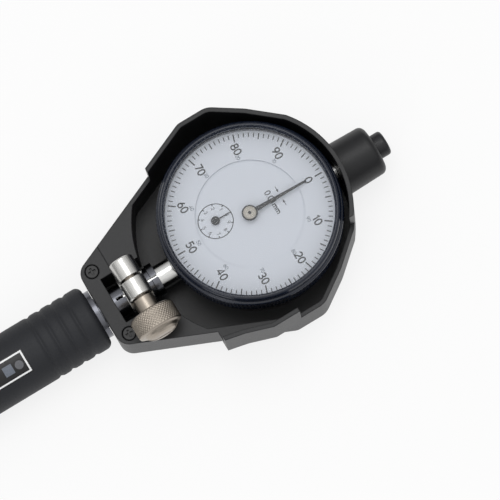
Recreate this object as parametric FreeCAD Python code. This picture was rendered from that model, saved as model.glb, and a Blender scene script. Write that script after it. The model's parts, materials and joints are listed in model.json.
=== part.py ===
"""Dial bore gauge: a dial indicator in a plastic guard on the end of a long gripped tube,
with a bell crank in the measuring head at the tube's far end.

The gauge lies on its back. The origin is on the plane it rests on, under the dial's centre.
+Y runs along the tube's axis towards the top of the dial, +X to the dial's right, +Z out of
the dial. Millimetres throughout.
"""
import FreeCAD
import Part
import math
import os

V = FreeCAD.Vector
X_DIR, Y_DIR, Z_DIR = V(1, 0, 0), V(0, 1, 0), V(0, 0, 1)

# --- Shared axis and fits -------------------------------------------------------------
AXIS_Z = 10.6               # height of the tube's axis over the resting plane
SLIDE_CLEARANCE = 0.05      # radial, on everything that slides or turns
PIVOT_CLEARANCE = 0.03      # radial, on the small arbors
TOUCH_CLEARANCE = 0.03      # between two ends that push on each other

# --- Guard ----------------------------------------------------------------------------
GUARD_BACK_WALL = 2.0
GUARD_SIDE_WALL = 1.4
GUARD_RIM_Z = 16.4          # height of the low rim all round
GUARD_WALL_Z = 27.3         # height of the raised walls beside the bezel
GUARD_TOP_R = 31.5          # radius of the top wall about the dial's centre
KINK = (19.6, 24.8)         # where the round top meets the straight shoulder
SHOULDER = (27.8, 15.3)
WIDEST_TOP = (34.5, 5.4)
WIDEST_BOTTOM = (34.5, -4.8)
FOOT_HALF_WIDTH = 13.2
GUARD_BOTTOM_Y = -53.9
FOOT_CORNER_R = 4.5
RECESS_R = 36.6             # round recess that the indicator sits in
CHANNEL_HALF_WIDTH = 7.75   # channel that the clamp sits in
CHANNEL_BOTTOM_Y = -49.0
TOP_WALL_RIGHT_X = 17.8     # the raised top wall ends here on the right
LEFT_EAR_END_Y = -20.2
EAR_TOP_Y = -3.0
EAR_OUTLINE = ((34.5, -3.0), (34.5, -12.0), (31.7, -20.4), (30.3, -26.8))
EAR_FOOT_Z = 9.6            # lowest edge of the right ear
STUB_BASE_R = 8.5
STUB_TOP_R = 8.15
STUB_TOP_Y = 44.1
STUB_EDGE_R = 2.0
STUB_BASE_Y = 28.6
CAP_HOLE_CLEARANCE = 0.45

# --- Front cap of the guard, held by two screws -----------------------------------------
SEAM_Y = -44.7
CAP_SCREW_X = 11.2
CAP_SCREW_Y = -50.0
CAP_SCREW_HEAD_R = 2.25
CAP_SCREW_HEAD_H = 1.3
CAP_SCREW_R = 1.25
CAP_SCREW_DEPTH = 9.5
CROSS_WIDTH = 0.6
CROSS_SPAN = 2.4
CROSS_DEPTH = 0.7

# --- Holder, tube and grip --------------------------------------------------------------
SLEEVE_TOP_Y = -33.5
SLEEVE_R = 5.0
SLEEVE_LIP_R = 5.5
SLEEVE_LIP_LENGTH = 2.2
SLEEVE_SLIT_WIDTH = 0.9
SLEEVE_SLIT_END_Y = -48.0
COLLAR_R = 8.0
COLLAR_Y = -54.2
COLLAR_LENGTH = 1.6
SPIGOT_LENGTH = 12.0
TUBE_R = 6.0
TUBE_BORE_R = 4.5
TUBE_TOP_Y = -74.0
TUBE_LENGTH = 224.0
GRIP_R = 10.6
GRIP_TOP_Y = -55.8
GRIP_LENGTH = 109.2
GRIP_EDGE_R = 2.2
GRIP_GROOVES = 4
GRIP_GROOVE_Y = -61.8
GRIP_GROOVE_PITCH = 4.15
GRIP_GROOVE_DEPTH = 0.42
LABEL_THICKNESS = 0.12
LABEL_TOP_Y = -80.5
LABEL_LENGTH = 24.0
LABEL_WIDTH = 7.9
LABEL_TURN = 15.0           # degrees round the grip, towards +X

# --- Clamp ------------------------------------------------------------------------------
CLAMP_Y = -41.2
CLAMP_RING_R = 7.1
CLAMP_WIDTH = 8.0
BARREL_Z = 24.2
BARREL_R = 4.0
BARREL_LEFT_X = -8.0
BARREL_RIGHT_X = 5.1
CLAMP_SLOT_X = -1.3
CLAMP_SLOT_WIDTH = 0.9
CLAMP_NECK_LEFT_X = -6.2
CLAMP_NECK_RIGHT_X = 3.6
CLAMP_NECK_HALF = 3.5
CLAMP_SCREW_R = 2.0
CLAMP_SCREW_END_X = -6.8
KNOB_NECK_R = 3.3
KNOB_NECK_X = 5.5
KNOB_X = 10.2
KNOB_R = 7.3
KNOB_LENGTH = 6.6
KNOB_DOME = 2.0
KNOB_DOME_R = 5.6
KNOB_FLUTES = 28
KNOB_FLUTE_R = 0.42
KNOB_SLOT_WIDTH = 1.2
KNOB_SLOT_DEPTH = 1.3

# --- Indicator case -----------------------------------------------------------------------
CASE_R = 26.0
CASE_WALL = 1.8
CASE_BACK_Z = 2.4
BACK_THICKNESS = 1.6
BACK_RIM = 0.5
CASE_TOP_Z = 21.9
BACK_SCREW_CIRCLE_R = 22.4
BACK_SCREW_R = 0.8
BACK_SCREW_HEAD_R = 1.5
BACK_SCREW_HEAD_H = 0.5
BACK_SCREW_COUNT = 4
BACK_BOSS_R = 2.4
STEM_R = 4.0
STEM_LENGTH = 20.0
SPINDLE_R = 2.0
RACK_BODY_R = 2.5
TOP_BUSH_R = 3.4
TOP_BUSH_END_Y = 37.0
DUST_CAP_R = 4.0
DUST_CAP_TOP_Y = 48.0
DUST_CAP_BASE_Y = 31.0
DUST_CAP_WALL = 0.9
DUST_CAP_EDGE_R = 1.0

# --- Bezel, crystal and dial ----------------------------------------------------------------
BEZEL_R = 28.5
BEZEL_BASE_Z = 17.3
BEZEL_TOP_Z = 28.0
BEZEL_OPENING_R = 25.9
BEZEL_STEP_Z = 25.0
BEZEL_STEP_R = 27.7
BEZEL_FLUTES = 120
BEZEL_FLUTE_DEPTH = 0.3
BEZEL_KNURL_BASE_Z = 18.4
BEZEL_KNURL_TOP_Z = 23.6
SHELF_R = 25.85
SCALE_TOP_Z = 22.8
SCALE_THICKNESS = 0.5
SCALE_HOLE_R = 16.8
CRYSTAL_Z = 25.0
CRYSTAL_THICKNESS = 1.2
CRYSTAL_GROOVE_R = 26.4
SNAP_RING_Z = 19.7
SNAP_RING_WIRE = 0.8
SNAP_RING_GAP = 30.0        # degrees left open
DIAL_R = 21.0
DIAL_THICKNESS = 0.3
DIAL_GAP = 0.15             # under the turning scale ring

# --- Movement ---------------------------------------------------------------------------------
COUNTER_X = -3.6
COUNTER_Y = -10.05
RACK_TEETH_PER_TURN = 16
SPINDLE_TRAVEL_PER_TURN = 10.0
GEAR_TEETH = 100
PINION_TEETH = 10
TAKE_UP_TEETH = 60
TAKE_UP_ANGLE = 60.0        # direction from the centre, degrees from +X
TOOTH_SHARE = 0.36          # of the pitch, at the pitch circle
ADDENDUM = 0.8              # in modules
DEDENDUM = 1.1
GEAR_THICKNESS = 0.8
GEAR_Z = 14.6
PLATE_THICKNESS = 1.2
LOWER_PLATE_Z = 5.2
UPPER_PLATE_Z = 17.2
PLATE_R = 18.5
PILLAR_R = 1.6
PILLAR_CIRCLE_R = 16.2
PILLAR_ANGLES = (35.0, 140.0, 197.0, 325.0)
DIAL_POST_ANGLES = (90.0, 240.0, 0.0)
PLATE_SCREW_R = 0.7
PLATE_SCREW_HEAD_R = 1.3
ARBOR_R = 0.6
HAIRSPRING_TURNS = 3.5
HAIRSPRING_INNER_R = 1.4
HAIRSPRING_OUTER_R = 4.2
HAIRSPRING_STRIP = 0.2
POINTER_TIP_R = 19.7
POINTER_TAIL = 0.0
POINTER_HUB_R = 2.45
POINTER_ROOT_WIDTH = 1.2
POINTER_TIP_WIDTH = 0.45
POINTER_TURN = -1.16        # degrees from +Y to the zero of the scale
POINTER_Z = 24.1
POINTER_THICKNESS = 0.25
COUNTER_HUB_R = 1.35
COUNTER_HAND_LENGTH = 4.9
COUNTER_HAND_Z = 23.0

# --- Spindle and push rod -----------------------------------------------------------------------
SPINDLE_POINT_Y = -64.0
SPINDLE_TOP_Y = 34.5
SPINDLE_POINT_R = 1.6
PUSH_ROD_R = 1.6
ROD_BUSH_LENGTH = 8.0
UPPER_BUSH_Y = -100.0
LOWER_BUSH_Y = -276.0
ROD_COLLAR_R = 3.2
ROD_COLLAR_LENGTH = 3.0
ROD_SPRING_LENGTH = 20.0
ROD_SPRING_R = 2.7
ROD_SPRING_WIRE = 0.5
ROD_SPRING_TURNS = 8
SPRING_X = 8.5              # return spring of the spindle, beside it
SPRING_BOTTOM_Y = -15.0
SPRING_TOP_Y = 3.0
SPINDLE_SPRING_R = 1.2
SPINDLE_SPRING_WIRE = 0.35
SPINDLE_SPRING_TURNS = 9

# --- Measuring head ---------------------------------------------------------------------------------
CRANK_ARM = 5.0             # both arms alike: one to one
CRANK_Y = -307.0
CRANK_THICKNESS = 3.4
CRANK_HUB_R = 2.0
CRANK_NOSE_R = 0.9
CRANK_ARM_HALF = 0.6
CRANK_PIN_R = 1.0
HEAD_R = 11.0
HEAD_HALF_X = 8.4
HEAD_HALF_Z = 9.8
HEAD_TOP_Y = -288.0
HEAD_BOTTOM_Y = -325.0
HEAD_EDGE = 1.5
SOCKET_DEPTH = 10.0
POCKET_LEFT_X = -7.2
POCKET_RIGHT_X = 2.2
POCKET_TOP_Y = -303.5
POCKET_BOTTOM_Y = -316.5
POCKET_FLOOR = 2.2          # below the axis
COVER_SEAT = 6.2            # above the axis
COVER_THICKNESS = 1.3
COVER_HALF_X = 7.0
COVER_MARGIN = 5.0
COVER_SCREW_X = 5.0
COVER_SCREW_R = 1.0
COVER_SCREW_HEAD_R = 1.9
HALF_SPAN = 18.0            # from the tube's axis to each measuring tip
PLUNGER_R = 2.5
PLUNGER_NOSE_R = 0.6
PLUNGER_NOSE_LENGTH = 1.7
TIP_BALL_R = 1.6
CONTACT_BUSH_R = 4.0
ANVIL_R = 2.5
ANVIL_FLANGE_R = 4.4
ANVIL_FLANGE_THICKNESS = 1.4
ANVIL_NUT_R = 5.6
ANVIL_NUT_THICKNESS = 3.2
ANVIL_TIP_R = 2.1
GUIDE_REACH = 16.8
GUIDE_PLATE_X = -13.4
GUIDE_PLATE_THICKNESS = 1.6
GUIDE_HALF_Y = 10.5
GUIDE_HALF_Z = 8.2
GUIDE_WAIST_HALF_Y = 4.4
GUIDE_SHOE_R = 1.3
GUIDE_PIN_R = 1.2
GUIDE_PIN_LENGTH = 8.6
GUIDE_PIN_SPREAD = 8.0
GUIDE_PIN_DROP = 4.8
GUIDE_TRAVEL = 3.0
GUIDE_SPRING_BORE_R = 1.75
GUIDE_SPRING_BORE_DEPTH = 4.0
GUIDE_SPRING_R = 1.47
GUIDE_SPRING_WIRE = 0.3
GUIDE_SPRING_TURNS = 4

# --- Worked out from the above ------------------------------------------------------------------------
COLLAR_END_Y = COLLAR_Y - COLLAR_LENGTH
GRIP_BOTTOM_Y = GRIP_TOP_Y - GRIP_LENGTH
TUBE_BOTTOM_Y = TUBE_TOP_Y - TUBE_LENGTH
STEM_END_Y = -CASE_R - STEM_LENGTH
CASE_INNER_R = CASE_R - CASE_WALL
CASE_BASE_Z = CASE_BACK_Z + BACK_THICKNESS
SCALE_BASE_Z = SCALE_TOP_Z - SCALE_THICKNESS
DIAL_TOP_Z = SCALE_BASE_Z - DIAL_GAP
RACK_PINION_R = SPINDLE_TRAVEL_PER_TURN / (2 * math.pi)
RACK_MODULE = 2 * RACK_PINION_R / RACK_TEETH_PER_TURN
RACK_PITCH = math.pi * RACK_MODULE
RACK_LINE_X = COUNTER_X + RACK_PINION_R
CENTRE_DISTANCE = math.hypot(COUNTER_X, COUNTER_Y)
TRAIN_MODULE = 2 * CENTRE_DISTANCE / (GEAR_TEETH + PINION_TEETH)
TAKE_UP_DISTANCE = TRAIN_MODULE * (TAKE_UP_TEETH + PINION_TEETH) / 2
TAKE_UP_X = TAKE_UP_DISTANCE * math.cos(math.radians(TAKE_UP_ANGLE))
TAKE_UP_Y = TAKE_UP_DISTANCE * math.sin(math.radians(TAKE_UP_ANGLE))
UPPER_PLATE_TOP_Z = UPPER_PLATE_Z + PLATE_THICKNESS
ROD_TOP_Y = SPINDLE_POINT_Y - TOUCH_CLEARANCE
ROD_BOTTOM_Y = CRANK_Y + CRANK_NOSE_R + TOUCH_CLEARANCE
MEASURE_Y = CRANK_Y - CRANK_ARM
PLUNGER_END_X = -CRANK_ARM - CRANK_NOSE_R - TOUCH_CLEARANCE
COVER_Z = AXIS_Z + COVER_SEAT
SPRING_ANCHOR_Z = AXIS_Z


# --- Small tools ------------------------------------------------------------------------------------------
def cylinder_x(radius, x0, x1, y=0.0, z=AXIS_Z):
    """A round bar along X between x0 and x1."""
    return Part.makeCylinder(radius, abs(x1 - x0), V(min(x0, x1), y, z), X_DIR)


def cylinder_y(radius, y0, y1, x=0.0, z=AXIS_Z):
    """A round bar along Y between y0 and y1."""
    return Part.makeCylinder(radius, abs(y1 - y0), V(x, min(y0, y1), z), Y_DIR)


def cylinder_z(radius, z0, z1, x=0.0, y=0.0):
    """A round bar along Z between z0 and z1."""
    return Part.makeCylinder(radius, abs(z1 - z0), V(x, y, min(z0, z1)), Z_DIR)


def block(x0, x1, y0, y1, z0, z1):
    """A box between two corners."""
    return Part.makeBox(x1 - x0, y1 - y0, z1 - z0, V(x0, y0, z0))


def prism(points, z0, z1):
    """A polygon of (x, y) points raised from z0 to z1."""
    loop = [V(x, y, z0) for x, y in points]
    return Part.Face(Part.makePolygon(loop + loop[:1])).extrude(V(0, 0, z1 - z0))


def turned_y(profile, x=0.0, z=AXIS_Z):
    """A (radius, y) profile turned about an axis along Y."""
    loop = [V(x + r, y, z) for r, y in profile]
    face = Part.Face(Part.makePolygon(loop + loop[:1]))
    return face.revolve(V(x, 0, z), Y_DIR, 360)


def turned_x(profile, y, z=AXIS_Z):
    """A (radius, x) profile turned about an axis along X."""
    loop = [V(x, y, z + r) for r, x in profile]
    face = Part.Face(Part.makePolygon(loop + loop[:1]))
    return face.revolve(V(0, y, z), X_DIR, 360)


def turned_z(profile, x=0.0, y=0.0):
    """A (radius, z) profile turned about an axis along Z."""
    loop = [V(x + r, y, z) for r, z in profile]
    face = Part.Face(Part.makePolygon(loop + loop[:1]))
    return face.revolve(V(x, y, 0), Z_DIR, 360)


def rounded_outline(corners, z=0.0):
    """A closed wire through (x, y, radius) corners, each rounded by an arc of its radius."""
    edges = []
    ends = []
    count = len(corners)
    for i, (x, y, radius) in enumerate(corners):
        here = V(x, y, z)
        before = V(corners[i - 1][0], corners[i - 1][1], z) - here
        after = V(corners[(i + 1) % count][0], corners[(i + 1) % count][1], z) - here
        before.normalize()
        after.normalize()
        half = before.getAngle(after) / 2
        if radius <= 0 or half > math.pi / 2 - 1e-4:
            ends.append((here, here))
            continue
        reach = radius / math.tan(half)
        start, stop = here + before * reach, here + after * reach
        bisector = before + after
        bisector.normalize()
        middle = here + bisector * (radius / math.sin(half) - radius)
        edges.append((i, Part.Arc(start, middle, stop).toShape()))
        ends.append((start, stop))
    arcs = dict(edges)
    loop = []
    for i in range(count):
        if i in arcs:
            loop.append(arcs[i])
        stop, start = ends[i][1], ends[(i + 1) % count][0]
        if stop.distanceToPoint(start) > 1e-6:
            loop.append(Part.makeLine(stop, start))
    return Part.Wire(loop)


def raised(wire, height):
    """A closed wire's face raised along Z."""
    return Part.Face(wire).extrude(V(0, 0, height))


def around(shapes):
    """Fuse a list of solids into one."""
    return shapes[0].fuse(shapes[1:]).removeSplitter()


def ring_of(shape, count, centre, axis, first=0.0):
    """Copies of a shape at even angles about an axis."""
    copies = []
    for i in range(count):
        copy = shape.copy()
        copy.rotate(centre, axis, first + 360.0 * i / count)
        copies.append(copy)
    return copies


def gear_points(teeth, module, x, y, phase):
    """The outline of a spur gear: straight-sided teeth, the first one centred on phase (radians)."""
    pitch_r = teeth * module / 2
    tip_r, root_r = pitch_r + ADDENDUM * module, pitch_r - DEDENDUM * module
    step = 2 * math.pi / teeth
    corners = ((root_r, -TOOTH_SHARE * 0.72), (tip_r, -TOOTH_SHARE * 0.22),
               (tip_r, TOOTH_SHARE * 0.22), (root_r, TOOTH_SHARE * 0.72))
    points = []
    for i in range(teeth):
        for radius, share in corners:
            angle = phase + step * (i + share)
            points.append((x + radius * math.cos(angle), y + radius * math.sin(angle)))
    return points


def coil(start, direction, length, radius, wire, turns):
    """A helical spring of square wire along a direction from start."""
    path = Part.makeHelix((length - wire) / turns, length - wire, radius)
    half = wire / 2
    section = [V(radius - half, 0, -half), V(radius + half, 0, -half),
               V(radius + half, 0, half), V(radius - half, 0, half)]
    profile = Part.makePolygon(section + section[:1])
    spring = Part.Wire(path.Edges).makePipeShell([profile], True, True)
    spring.translate(V(0, 0, half))
    turn = FreeCAD.Rotation(Z_DIR, direction)
    spring.Placement = FreeCAD.Placement(start, turn).multiply(spring.Placement)
    return spring


# --- Guard ---------------------------------------------------------------------------------------------------
def guard_corners():
    """Corners of the guard's outline with their radii, symmetrical about the stem."""
    kink_angle = math.atan2(KINK[0], KINK[1])
    top_r = math.hypot(*KINK)
    right = [(KINK[0], KINK[1], 0), (SHOULDER[0], SHOULDER[1], 14.0),
             (WIDEST_TOP[0], WIDEST_TOP[1], 6.0), (WIDEST_BOTTOM[0], WIDEST_BOTTOM[1], 4.0),
             (FOOT_HALF_WIDTH, GUARD_BOTTOM_Y, FOOT_CORNER_R)]
    left = [(-x, y, r) for x, y, r in reversed(right)]
    return [(0, top_r / math.cos(kink_angle), top_r)] + right + left


def guard_hollow():
    """The round recess, kept inside the side walls."""
    inner = rounded_outline(guard_corners(), GUARD_BACK_WALL).makeOffset2D(-GUARD_SIDE_WALL)
    room = raised(inner, GUARD_WALL_Z)
    return room.common(cylinder_z(RECESS_R, GUARD_BACK_WALL, GUARD_WALL_Z + 5))


def raised_walls():
    """The wall over the top and down the left side, as high as the bezel."""
    outer = rounded_outline(guard_corners(), GUARD_RIM_Z - 1)
    wall = raised(outer, GUARD_WALL_Z - GUARD_RIM_Z + 1)
    wall = wall.cut(raised(outer.makeOffset2D(-GUARD_SIDE_WALL), GUARD_WALL_Z))
    far = 3 * RECESS_R
    below_left = block(-far, 0, -far, LEFT_EAR_END_Y, 0, far)
    right_side = block(TOP_WALL_RIGHT_X, far, -far, far, 0, far)
    bottom = block(0, far, -far, 0, 0, far)
    return wall.cut(below_left).cut(right_side).cut(bottom)


def right_ear():
    """The ear on the right: a shelf out from the side and a wall up from its edge."""
    inner = [(x - GUARD_SIDE_WALL, y) for x, y in EAR_OUTLINE]
    inner[-1] = (inner[-1][0], EAR_OUTLINE[-1][1])
    wall = prism(list(EAR_OUTLINE) + inner[::-1], EAR_FOOT_Z, GUARD_WALL_Z)
    side_x = FOOT_HALF_WIDTH + 8.0
    shelf = prism(list(EAR_OUTLINE) + [(side_x, EAR_OUTLINE[-1][1]), (side_x, EAR_TOP_Y)],
                  EAR_FOOT_Z, GUARD_RIM_Z)
    return wall.fuse(shelf)


def stub():
    """The round stub over the indicator's cap, slightly tapered, with a rounded end."""
    arc_points = [(STUB_TOP_R - STUB_EDGE_R * (1 - math.cos(a)), STUB_TOP_Y - STUB_EDGE_R * (1 - math.sin(a)))
                  for a in [math.radians(18 * i) for i in range(6)]]
    return turned_y([(0, STUB_BASE_Y), (STUB_BASE_R, STUB_BASE_Y)] + arc_points + [(0, STUB_TOP_Y)])


def screw_places():
    return [(-CAP_SCREW_X, CAP_SCREW_Y), (CAP_SCREW_X, CAP_SCREW_Y)]


def guard_block():
    """Guard before its foot is split off: base, walls, ear and stub, hollowed and bored."""
    body = raised(rounded_outline(guard_corners()), GUARD_RIM_Z)
    body = around([body, raised_walls(), right_ear(), stub()])
    body = body.cut(guard_hollow())
    body = body.cut(block(-CHANNEL_HALF_WIDTH, CHANNEL_HALF_WIDTH, CHANNEL_BOTTOM_Y, SLEEVE_TOP_Y,
                          GUARD_BACK_WALL, GUARD_WALL_Z))
    body = body.cut(cylinder_y(DUST_CAP_R + CAP_HOLE_CLEARANCE, CASE_R - 5, STUB_TOP_Y + 1))
    return body.cut(cylinder_y(SLEEVE_R, GUARD_BOTTOM_Y - 1, CHANNEL_BOTTOM_Y + 1))


def foot_region():
    """The front half of the guard's foot, below the seam."""
    wide = 2 * FOOT_HALF_WIDTH
    return block(-wide, wide, GUARD_BOTTOM_Y - 1, SEAM_Y, AXIS_Z, GUARD_WALL_Z)


def guard_body(block_shape):
    body = block_shape.cut(foot_region())
    for x, y in screw_places():
        body = body.cut(cylinder_z(CAP_SCREW_R, GUARD_RIM_Z - CAP_SCREW_DEPTH, GUARD_RIM_Z, x, y))
    return body


def guard_front_cap(block_shape):
    cap = block_shape.common(foot_region())
    for x, y in screw_places():
        cap = cap.cut(cylinder_z(CAP_SCREW_R, AXIS_Z - 1, GUARD_RIM_Z, x, y))
        cap = cap.cut(cylinder_z(CAP_SCREW_HEAD_R, GUARD_RIM_Z - CAP_SCREW_HEAD_H, GUARD_RIM_Z + 1, x, y))
    return cap


def cross_cut(x, y, top_z, span, width, depth):
    """The cross recess of a screw head."""
    first = block(x - span / 2, x + span / 2, y - width / 2, y + width / 2, top_z - depth, top_z + 1)
    second = block(x - width / 2, x + width / 2, y - span / 2, y + span / 2, top_z - depth, top_z + 1)
    return first.fuse(second)


def guard_cap_screws():
    screws = []
    top = GUARD_RIM_Z + 0.1
    seat = GUARD_RIM_Z - CAP_SCREW_HEAD_H
    for x, y in screw_places():
        profile = [(0, GUARD_RIM_Z - CAP_SCREW_DEPTH), (CAP_SCREW_R, GUARD_RIM_Z - CAP_SCREW_DEPTH),
                   (CAP_SCREW_R, seat), (CAP_SCREW_HEAD_R, seat), (CAP_SCREW_HEAD_R, top - 0.4),
                   (CAP_SCREW_HEAD_R - 0.4, top), (0, top)]
        screw = turned_z(profile, x, y)
        screws.append(screw.cut(cross_cut(x, y, top, CROSS_SPAN, CROSS_WIDTH, CROSS_DEPTH)))
    return Part.makeCompound(screws)


# --- Holder, tube and grip ----------------------------------------------------------------------------------------
def holder_sleeve():
    """The turned holder: a slit sleeve for the stem, a collar under the guard and a spigot."""
    bottom = TUBE_TOP_Y - SPIGOT_LENGTH
    outside = [(0, SLEEVE_TOP_Y), (SLEEVE_LIP_R, SLEEVE_TOP_Y),
               (SLEEVE_LIP_R, SLEEVE_TOP_Y - SLEEVE_LIP_LENGTH), (SLEEVE_R, SLEEVE_TOP_Y - SLEEVE_LIP_LENGTH),
               (SLEEVE_R, COLLAR_Y), (COLLAR_R, COLLAR_Y), (COLLAR_R, COLLAR_END_Y),
               (TUBE_R, COLLAR_END_Y), (TUBE_R, TUBE_TOP_Y), (TUBE_BORE_R, TUBE_TOP_Y),
               (TUBE_BORE_R, bottom), (0, bottom)]
    sleeve = turned_y(outside)
    sleeve = sleeve.cut(cylinder_y(STEM_R, SLEEVE_TOP_Y + 1, SPINDLE_POINT_Y + 6))
    sleeve = sleeve.cut(cylinder_y(SPINDLE_R + 0.8, SLEEVE_TOP_Y, bottom - 1))
    slit = SLEEVE_SLIT_WIDTH / 2
    return sleeve.cut(block(-slit, slit, SLEEVE_SLIT_END_Y, SLEEVE_TOP_Y + 1, AXIS_Z, AXIS_Z + 2 * SLEEVE_R))


def main_tube():
    tube = cylinder_y(TUBE_R, TUBE_TOP_Y, TUBE_BOTTOM_Y)
    return tube.cut(cylinder_y(TUBE_BORE_R, TUBE_TOP_Y + 1, TUBE_BOTTOM_Y - 1))


def grip():
    """The moulded grip: rounded ends and shallow finger grooves below its top."""
    edge = [(GRIP_R - GRIP_EDGE_R * (1 - math.cos(a)), GRIP_TOP_Y - GRIP_EDGE_R * (1 - math.sin(a)))
            for a in [math.radians(90 - 18 * i) for i in range(6)]]
    side = []
    groove_half = GRIP_GROOVE_PITCH * 0.22
    for i in range(GRIP_GROOVES):
        y = GRIP_GROOVE_Y - i * GRIP_GROOVE_PITCH
        side += [(GRIP_R, y + groove_half), (GRIP_R - GRIP_GROOVE_DEPTH, y), (GRIP_R, y - groove_half)]
    foot = [(r, GRIP_TOP_Y + GRIP_BOTTOM_Y - y) for r, y in reversed(edge)]
    shape = turned_y([(0, GRIP_TOP_Y)] + edge + side + foot + [(0, GRIP_BOTTOM_Y)])
    return shape.cut(cylinder_y(TUBE_R, GRIP_TOP_Y + 1, GRIP_BOTTOM_Y - 1))


def grip_label():
    """A thin plate that follows the grip's curve."""
    skin = cylinder_y(GRIP_R + LABEL_THICKNESS, LABEL_TOP_Y, LABEL_TOP_Y - LABEL_LENGTH)
    skin = skin.cut(cylinder_y(GRIP_R, LABEL_TOP_Y + 1, LABEL_TOP_Y - LABEL_LENGTH - 1))
    half = LABEL_WIDTH / 2
    window = block(-half, half, LABEL_TOP_Y - LABEL_LENGTH - 1, LABEL_TOP_Y + 1, AXIS_Z, AXIS_Z + 2 * GRIP_R)
    window.rotate(V(0, 0, AXIS_Z), Y_DIR, LABEL_TURN)
    return skin.common(window)


# --- Clamp -----------------------------------------------------------------------------------------------------------
def clamp_ring():
    """The split clamp: a ring round the sleeve and two round lugs over it that the screw draws together."""
    y0, y1 = CLAMP_Y - CLAMP_WIDTH / 2, CLAMP_Y + CLAMP_WIDTH / 2
    ring = cylinder_y(CLAMP_RING_R, y0, y1)
    neck = block(CLAMP_NECK_LEFT_X, CLAMP_NECK_RIGHT_X, CLAMP_Y - CLAMP_NECK_HALF, CLAMP_Y + CLAMP_NECK_HALF,
                 AXIS_Z, BARREL_Z)
    barrel = cylinder_x(BARREL_R, BARREL_LEFT_X, BARREL_RIGHT_X, CLAMP_Y, BARREL_Z)
    clamp = around([ring, neck, barrel.makeChamfer(0.35, barrel.Edges)])
    clamp = clamp.cut(cylinder_y(SLEEVE_R, y0 - 1, y1 + 1))
    clamp = clamp.cut(cylinder_x(CLAMP_SCREW_R + SLIDE_CLEARANCE, CLAMP_SCREW_END_X - 0.3, BARREL_RIGHT_X + 1,
                                 CLAMP_Y, BARREL_Z))
    half = CLAMP_SLOT_WIDTH / 2
    slot = block(CLAMP_SLOT_X - half, CLAMP_SLOT_X + half, y0 - 1, y1 + 1, AXIS_Z, BARREL_Z + BARREL_R + 1)
    return clamp.cut(slot)


def clamp_screw():
    """The clamp's thumb screw: shank, neck and a fluted head with a slotted dome."""
    knob_end = KNOB_X + KNOB_LENGTH
    profile = [(0, CLAMP_SCREW_END_X), (CLAMP_SCREW_R, CLAMP_SCREW_END_X), (CLAMP_SCREW_R, KNOB_NECK_X),
               (KNOB_NECK_R, KNOB_NECK_X), (KNOB_NECK_R, KNOB_X), (KNOB_R - 0.8, KNOB_X),
               (KNOB_R, KNOB_X + 0.8), (KNOB_R, knob_end - 0.6), (KNOB_R - 0.6, knob_end),
               (KNOB_DOME_R, knob_end), (KNOB_DOME_R - 0.9, knob_end + 0.75 * KNOB_DOME),
               (KNOB_DOME_R - 2.4, knob_end + KNOB_DOME), (0, knob_end + KNOB_DOME)]
    screw = turned_x(profile, CLAMP_Y, BARREL_Z)
    flute = cylinder_x(KNOB_FLUTE_R, KNOB_X - 1, knob_end, CLAMP_Y, BARREL_Z + KNOB_R + 0.1)
    flutes = Part.makeCompound(ring_of(flute, KNOB_FLUTES, V(0, CLAMP_Y, BARREL_Z), X_DIR))
    half = KNOB_SLOT_WIDTH / 2
    slot = block(knob_end + KNOB_DOME - KNOB_SLOT_DEPTH, knob_end + KNOB_DOME + 1, CLAMP_Y - KNOB_R,
                 CLAMP_Y + KNOB_R, BARREL_Z - half, BARREL_Z + half)
    return screw.cut(flutes).cut(slot)


# --- Indicator: case ----------------------------------------------------------------------------------------------------
def back_screw_angles():
    return [45.0 + 360.0 * i / BACK_SCREW_COUNT for i in range(BACK_SCREW_COUNT)]


def polar(radius, degrees):
    """The x and y of a point at an angle from +X."""
    return radius * math.cos(math.radians(degrees)), radius * math.sin(math.radians(degrees))


def indicator_case():
    """The drum-shaped case with a groove for the bezel's snap ring and bosses for the back's screws."""
    groove = SNAP_RING_WIRE / 2 + 0.1
    case = turned_z([(CASE_INNER_R, CASE_BASE_Z), (CASE_R, CASE_BASE_Z), (CASE_R, SNAP_RING_Z - groove),
                     (CASE_R - 2 * groove, SNAP_RING_Z - groove), (CASE_R - 2 * groove, SNAP_RING_Z + groove),
                     (CASE_R, SNAP_RING_Z + groove), (CASE_R, CASE_TOP_Z), (CASE_INNER_R, CASE_TOP_Z)])
    bosses = []
    for angle in back_screw_angles():
        x, y = polar(BACK_SCREW_CIRCLE_R, angle)
        boss = cylinder_z(BACK_BOSS_R, CASE_BASE_Z, CASE_BASE_Z + 7.0, x, y)
        bosses.append(boss)
    case = around([case] + [b.common(cylinder_z(CASE_INNER_R + 0.5, 0, CASE_TOP_Z)) for b in bosses])
    for angle in back_screw_angles():
        x, y = polar(BACK_SCREW_CIRCLE_R, angle)
        case = case.cut(cylinder_z(BACK_SCREW_R, CASE_BASE_Z - 1, CASE_BASE_Z + 5.0, x, y))
    case = case.cut(cylinder_y(STEM_R - 0.8, -CASE_R - 1, -CASE_INNER_R + 1))
    return case.cut(cylinder_y(TOP_BUSH_R - 0.8, CASE_INNER_R - 1, CASE_R + 1))


def case_back():
    """The flat back with a raised rim and countersunk screw holes."""
    back = turned_z([(0, CASE_BACK_Z + BACK_RIM), (CASE_R - 3.0, CASE_BACK_Z + BACK_RIM),
                     (CASE_R - 2.6, CASE_BACK_Z), (CASE_R - 0.6, CASE_BACK_Z), (CASE_R, CASE_BACK_Z + 0.6),
                     (CASE_R, CASE_BASE_Z), (0, CASE_BASE_Z)])
    seat_z = CASE_BACK_Z + BACK_RIM + BACK_SCREW_HEAD_H
    for angle in back_screw_angles():
        x, y = polar(BACK_SCREW_CIRCLE_R, angle)
        back = back.cut(cylinder_z(BACK_SCREW_R, CASE_BACK_Z - 1, CASE_BASE_Z + 1, x, y))
        back = back.cut(cylinder_z(BACK_SCREW_HEAD_R, CASE_BACK_Z - 1, seat_z, x, y))
    return back


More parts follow.
